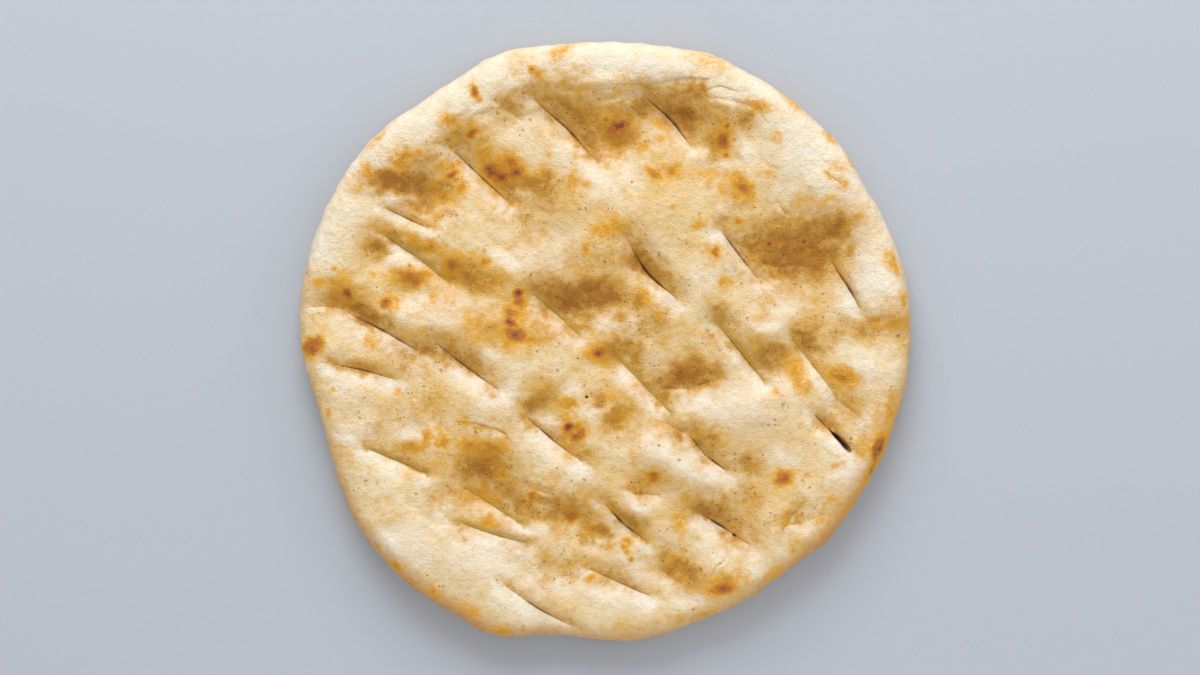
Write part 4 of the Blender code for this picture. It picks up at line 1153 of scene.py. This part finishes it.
def remap(tree, value, low, high, to_low=0.0, to_high=1.0):
    """Stretch a value's range smoothly to another range."""
    node = tree.nodes.new("ShaderNodeMapRange")
    node.interpolation_type = "SMOOTHSTEP"
    link_or_set(tree, node.inputs["Value"], value)
    for name, number in (("From Min", low), ("From Max", high), ("To Min", to_low), ("To Max", to_high)):
        node.inputs[name].default_value = number
    return node.outputs["Result"]


def coat(tree, skin, colour, value, low, high, share=1.0):
    """Lay a colour over the skin: nothing where the value is low, this share of it where it is high."""
    return blend(tree, remap(tree, value, low, high, 0.0, share), skin, colour)


def vary(tree, value, to_low, to_high):
    """Turn a cloudy noise, which lies mostly between 0.3 and 0.7, into a factor between two values."""
    return remap(tree, value, 0.30, 0.70, to_low, to_high)


def cloud(tree, place, width, detail=3.0, roughness=0.6):
    """Add a cloudy noise whose waves are this wide, and give its value from 0 to 1."""
    node = tree.nodes.new("ShaderNodeTexNoise")
    node.inputs["Scale"].default_value = 1 / width
    node.inputs["Detail"].default_value = detail
    node.inputs["Roughness"].default_value = roughness
    tree.links.new(place, node.inputs["Vector"])
    return node.outputs["Fac"]


def pulled_about(tree, place, width, reach):
    """Shift each place by up to this reach, so that what hangs on it gets uneven edges."""
    node = tree.nodes.new("ShaderNodeTexNoise")
    node.inputs["Scale"].default_value = 1 / width
    tree.links.new(place, node.inputs["Vector"])
    shift = tree.nodes.new("ShaderNodeVectorMath")
    shift.operation = "MULTIPLY_ADD"
    tree.links.new(node.outputs["Color"], shift.inputs[0])
    shift.inputs[1].default_value = (reach, reach, reach)
    tree.links.new(place, shift.inputs[2])
    return shift.outputs[0]


def split_up(tree, vector):
    """Split a vector or a colour and give its three numbers as X, Y and Z."""
    node = tree.nodes.new("ShaderNodeSeparateXYZ")
    tree.links.new(vector, node.inputs[0])
    return node.outputs


def mask(tree, name):
    """Read one of the mesh's stored masks."""
    node = tree.nodes.new("ShaderNodeAttribute")
    node.attribute_name = name
    return node.outputs["Fac"]


def off_the_pale_and_lit(tree, pale, least):
    """Give a factor that falls from 1 to this least value where the skin is pale and where light is painted."""
    return remap(tree, pale, 0.2, 0.9, 1.0, least)


def stained_lit_and_shaded_skin(tree, place, mottle):
    """Give the cream skin with its golden clouds, pale crests partly made by painted light, and ochre hollows
    partly made by painted shade.
    """
    broad = cloud(tree, place, BROAD_CLOUDS, 2.0, 0.55)
    cloudy = cloud(tree, place, CREAM_CLOUDS, 4.0)
    patchy = cloud(tree, place, STAIN_CLOUDS)
    skin = coat(tree, CREAM, GOLDEN_CREAM, broad, 0.36, 0.62, 0.60)
    skin = coat(tree, skin, GOLDEN_CREAM, cloudy, 0.42, 0.66, 0.65)
    # Pale skin and painted light
    pale = multiply(tree, mask(tree, "pale"), vary(tree, cloudy, 1.00, 0.74))
    skin = blend(tree, pale, skin, PALE_SKIN_AND_HIGHLIGHT)
    blotched = multiply(tree, remap(tree, mottle, 0.52, 0.74, 0.0, 0.50), off_the_pale_and_lit(tree, pale, 0.3))
    skin = blend(tree, blotched, skin, LIGHT_TAN_AND_SHADE)
    # Ochre stains, partly painted shade
    tan_and_shade = multiply(tree, mask(tree, "tan_and_shade"), remap(tree, cloudy, 0.32, 0.66, 0.82, 1.18))
    tan_and_shade = multiply(tree, tan_and_shade, vary(tree, patchy, 0.84, 1.18))
    tan_and_shade = multiply(tree, tan_and_shade, vary(tree, mottle, 0.90, 1.12))
    skin = coat(tree, skin, LIGHT_TAN_AND_SHADE, tan_and_shade, 0.00, 0.72)
    return coat(tree, skin, DEEP_TAN_AND_SHADE, tan_and_shade, 0.34, 1.06)


def scattered(tree, place, spacing, radius, share):
    """Scatter spots of about this radius, of which this share shows: 1 in a spot and 0 outside."""
    node = tree.nodes.new("ShaderNodeTexVoronoi")
    node.inputs["Scale"].default_value = 1 / spacing
    tree.links.new(place, node.inputs["Vector"])
    chance = split_up(tree, node.outputs["Color"])
    size = multiply_add(tree, chance["Y"], SPOT_SPREAD, SPOT_LEAST)
    scaled = calculate(tree, "DIVIDE", node.outputs["Distance"], size)
    spot = remap(tree, scaled, *[edge * radius / spacing for edge in SPOT_FADE])
    chosen = remap(tree, calculate(tree, "SUBTRACT", share, chance["X"]), -CHANCE_BLUR, CHANCE_BLUR)
    return multiply(tree, spot, chosen)


def flecked_skin(tree, place, skin):
    """Add golden dabs, brown flecks and small dark specks, which lie thickest in the hollows."""
    clusters = remap(tree, cloud(tree, place, FLECK_CLOUDS, 2.0, 0.55), 0.40, 0.66, -0.10, 0.34)
    gathered = multiply_add(tree, mask(tree, "tan_and_shade"), 0.85, clusters)
    gathered = multiply_add(tree, mask(tree, "pale"), -0.40, gathered)
    bran = multiply_add(tree, gathered, 0.17, cloud(tree, place, BRAN, 3.0, 0.65))
    skin = coat(tree, skin, FLECK_BROWN, bran, 0.66, 0.82, 0.45)
    wide = pulled_about(tree, place, 0.0030, 0.0060)
    narrow = pulled_about(tree, place, 0.0010, 0.0016)
    for where, spacing, radius, strength, colour in (
        (wide, 0.0060, 0.0016, 0.45, GOLDEN),
        (narrow, 0.0030, 0.0006, 0.70, FLECK_BROWN),
        (narrow, 0.0017, 0.0003, 0.84, SPECK_BROWN),
    ):
        spots = multiply(tree, scattered(tree, where, spacing, radius, gathered), strength)
        skin = blend(tree, spots, skin, colour)
    return skin


def browned_and_shaded_edges(tree, skin, mottle):
    """Add the browned outer edge with painted shade on its near side, the faces that the cuts opened with
    painted shade on them, their oil, and the painted shade in their creases.
    """
    # The browned edge, partly painted shade on the near side
    edge = multiply(tree, mask(tree, "edge"), remap(tree, mottle, 0.25, 0.70, 0.7, 1.1))
    skin = blend(tree, edge, skin, EDGE_BROWN_AND_SHADE)
    # The cuts' browned faces, partly painted shade
    face = multiply(tree, mask(tree, "face"), vary(tree, mottle, 0.75, 1.10))
    skin = coat(tree, skin, FACE_BROWN_AND_SHADE, face, 0.0, 0.80, 0.45)
    # Painted shade in the creases, less where oil shows
    cut = multiply(tree, mask(tree, "cut"), remap(tree, mask(tree, "oil"), 0.0, 1.0, 1.0, 0.4))
    skin = coat(tree, skin, CUT_SHADE, cut, 0.15, 0.95, 0.82)
    return blend(tree, multiply(tree, mask(tree, "oil"), 0.80), skin, OIL_YELLOW)


def toasted_skin(tree, place, skin, mottle):
    """Add golden touches and the toasted patches: a golden halo, a brown middle and a scorched core."""
    touches = multiply_add(tree, cloud(tree, place, TOUCH_CLOUDS, 2.0, 0.55), 0.35,
                           cloud(tree, place, SMALL_TOUCHES))
    touches = multiply(tree, remap(tree, touches, 0.78, 0.92, 0.0, 0.55),
                       off_the_pale_and_lit(tree, mask(tree, "pale"), 0.2))
    # Toast in the stains and the painted shade is a deeper gold
    in_stain_and_shade = remap(tree, mask(tree, "tan_and_shade"), 0.3, 0.9)
    golden = blend(tree, in_stain_and_shade, GOLDEN, GOLDEN_DEEP)
    halo = blend(tree, in_stain_and_shade, HALO_GOLD, GOLDEN_DEEP)
    skin = blend(tree, touches, skin, halo)
    stipple = cloud(tree, place, STIPPLE)
    uneven = multiply(tree, vary(tree, mottle, 0.72, 1.28), vary(tree, stipple, 0.92, 1.08))
    glow = multiply(tree, uneven, mask(tree, "glow"))
    skin = coat(tree, skin, halo, glow, 0.04, 0.60, 0.85)
    body = multiply(tree, uneven, mask(tree, "toast"))
    skin = coat(tree, skin, golden, body, 0.12, 0.58, 0.92)
    core = multiply(tree, vary(tree, mottle, 0.84, 1.16), mask(tree, "toast"))
    core = multiply(tree, core, vary(tree, stipple, 0.96, 1.04))
    skin = coat(tree, skin, BROWN, core, 0.42, 0.90)
    skin = coat(tree, skin, SCORCHED, core, 0.86, 1.14)
    return coat(tree, skin, CHAR, mask(tree, "burnt"), 0.35, 0.60)


def under_skin(tree, place, skin, mottle):
    """Change the skin to the browned underside, by way of the side just above the table."""
    baked = multiply_add(tree, cloud(tree, place, BAKED_CLOUDS, 4.0), 0.60,
                         cloud(tree, place, UNDER_CLOUDS, 3.0, 0.55))
    scorched = multiply_add(tree, mottle, 0.35, baked)
    below = coat(tree, UNDER_PALE, UNDER_GOLD, baked, 0.64, 0.86)
    below = coat(tree, below, UNDER_BROWN, baked, 0.78, 1.02, 0.9)
    below = coat(tree, below, SCORCHED, scorched, 1.08, 1.24, 0.8)
    below = coat(tree, below, skin, split_up(tree, place)["Z"], 0.0010, 0.0070)
    return blend(tree, mask(tree, "under"), skin, below)


def add_gloss(tree, shader, place, mottle):
    """Make the skin matt, with small oily glints where it is pale, and let some light into it."""
    dry = vary(tree, mottle, 0.62, 0.48)
    glossy = remap(tree, cloud(tree, place, GLOSS_CLOUDS), 0.50, 0.60, 0.05, 0.38)
    wet = multiply_add(tree, multiply(tree, mask(tree, "pale"), glossy), -1.0, dry)
    link_or_set(tree, shader.inputs["Roughness"], wet)
    shader.inputs["Specular IOR Level"].default_value = 0.45
    shader.inputs["Subsurface Weight"].default_value = 0.12
    shader.inputs["Subsurface Radius"].default_value = (1.0, 0.7, 0.4)
    shader.inputs["Subsurface Scale"].default_value = 0.0020


def add_bumps(tree, shader, place, mottle):
    """Roughen the skin by what is finer than its mesh."""
    bump = tree.nodes.new("ShaderNodeBump")
    bump.inputs["Strength"].default_value = 0.8
    bump.inputs["Distance"].default_value = 0.0013
    tree.links.new(multiply_add(tree, cloud(tree, place, GRITTY), 0.5, mottle), bump.inputs["Height"])
    tree.links.new(bump.outputs["Normal"], shader.inputs["Normal"])


def crust_material():
    """Give the baked crust."""
    material = bpy.data.materials.new("baked_crust")
    material.use_nodes = True
    tree = material.node_tree
    shader = tree.nodes["Principled BSDF"]
    place = tree.nodes.new("ShaderNodeTexCoord").outputs["Object"]
    mottle = cloud(tree, place, MOTTLE, 4.0, 0.65)
    skin = stained_lit_and_shaded_skin(tree, place, mottle)
    skin = flecked_skin(tree, place, skin)
    skin = browned_and_shaded_edges(tree, skin, mottle)
    skin = toasted_skin(tree, place, skin, mottle)
    skin = under_skin(tree, place, skin, mottle)
    link_or_set(tree, shader.inputs["Base Color"], skin)
    add_gloss(tree, shader, place, mottle)
    add_bumps(tree, shader, place, mottle)
    return material


def floor_material():
    """Give the plain pale floor."""
    material = bpy.data.materials.new("pale_floor")
    material.use_nodes = True
    shader = material.node_tree.nodes["Principled BSDF"]
    shader.inputs["Base Color"].default_value = srgb(188, 195, 207)
    shader.inputs["Roughness"].default_value = 0.85
    return material


# Floor, light and camera

FLOOR_SIZE = 6.0
PIXELS_PER_METRE = 2250
FRAME_WIDTH_PIXELS = 1200
FRAME_CENTRE = (-0.0027, 0.0016)
CAMERA_DISTANCE = 1.1
SENSOR_WIDTH = 36.0


def make_floor():
    """Lay a wide pale floor under the bread."""
    bpy.ops.mesh.primitive_plane_add(size=FLOOR_SIZE, location=(0, 0, 0))
    floor = bpy.context.object
    floor.name = "pale_floor"
    floor.data.materials.append(floor_material())


def make_light(name, location, size, energy, colour):
    """Add a square soft light that faces the bread."""
    data = bpy.data.lights.new(name, "AREA")
    data.size = size
    data.energy = energy
    data.color = colour
    light = bpy.data.objects.new(name, data)
    light.location = location
    light.rotation_euler = (-Vector(location)).to_track_quat("-Z", "Y").to_euler()
    bpy.context.scene.collection.objects.link(light)


def make_lights():
    """Light the bread from a window on the far side, a pale wall, a low white card and a pale sky."""
    make_light("window", (-0.15, 1.25, 0.80), 1.0, 17.5, (1.0, 0.995, 0.98))
    make_light("card", (0.1, -1.1, 0.35), 1.0, 2.8, (1.0, 0.97, 0.93))
    make_light("far_wall", (1.2, 0.5, 0.55), 0.8, 2.6, (1.0, 0.99, 0.98))
    world = bpy.data.worlds.new("sky")
    world.use_nodes = True
    sky = world.node_tree.nodes["Background"]
    sky.inputs["Color"].default_value = (1.0, 0.985, 0.965, 1)
    sky.inputs["Strength"].default_value = 0.56
    bpy.context.scene.world = world


def make_camera():
    """Look straight down at the frame's middle, from far enough to see the sides only a little."""
    camera = bpy.data.objects.new("camera", bpy.data.cameras.new("camera"))
    camera.data.sensor_width = SENSOR_WIDTH
    camera.data.lens = SENSOR_WIDTH * CAMERA_DISTANCE * PIXELS_PER_METRE / FRAME_WIDTH_PIXELS
    camera.location = (*FRAME_CENTRE, CAMERA_DISTANCE + WAIST_HEIGHT)
    bpy.context.scene.collection.objects.link(camera)
    bpy.context.scene.camera = camera


bread = make_bread()
bread.data.materials.append(crust_material())
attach(bread, "root")
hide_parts("naan")
make_floor()
make_lights()
make_camera()
bpy.context.scene.view_settings.view_transform = "Standard"
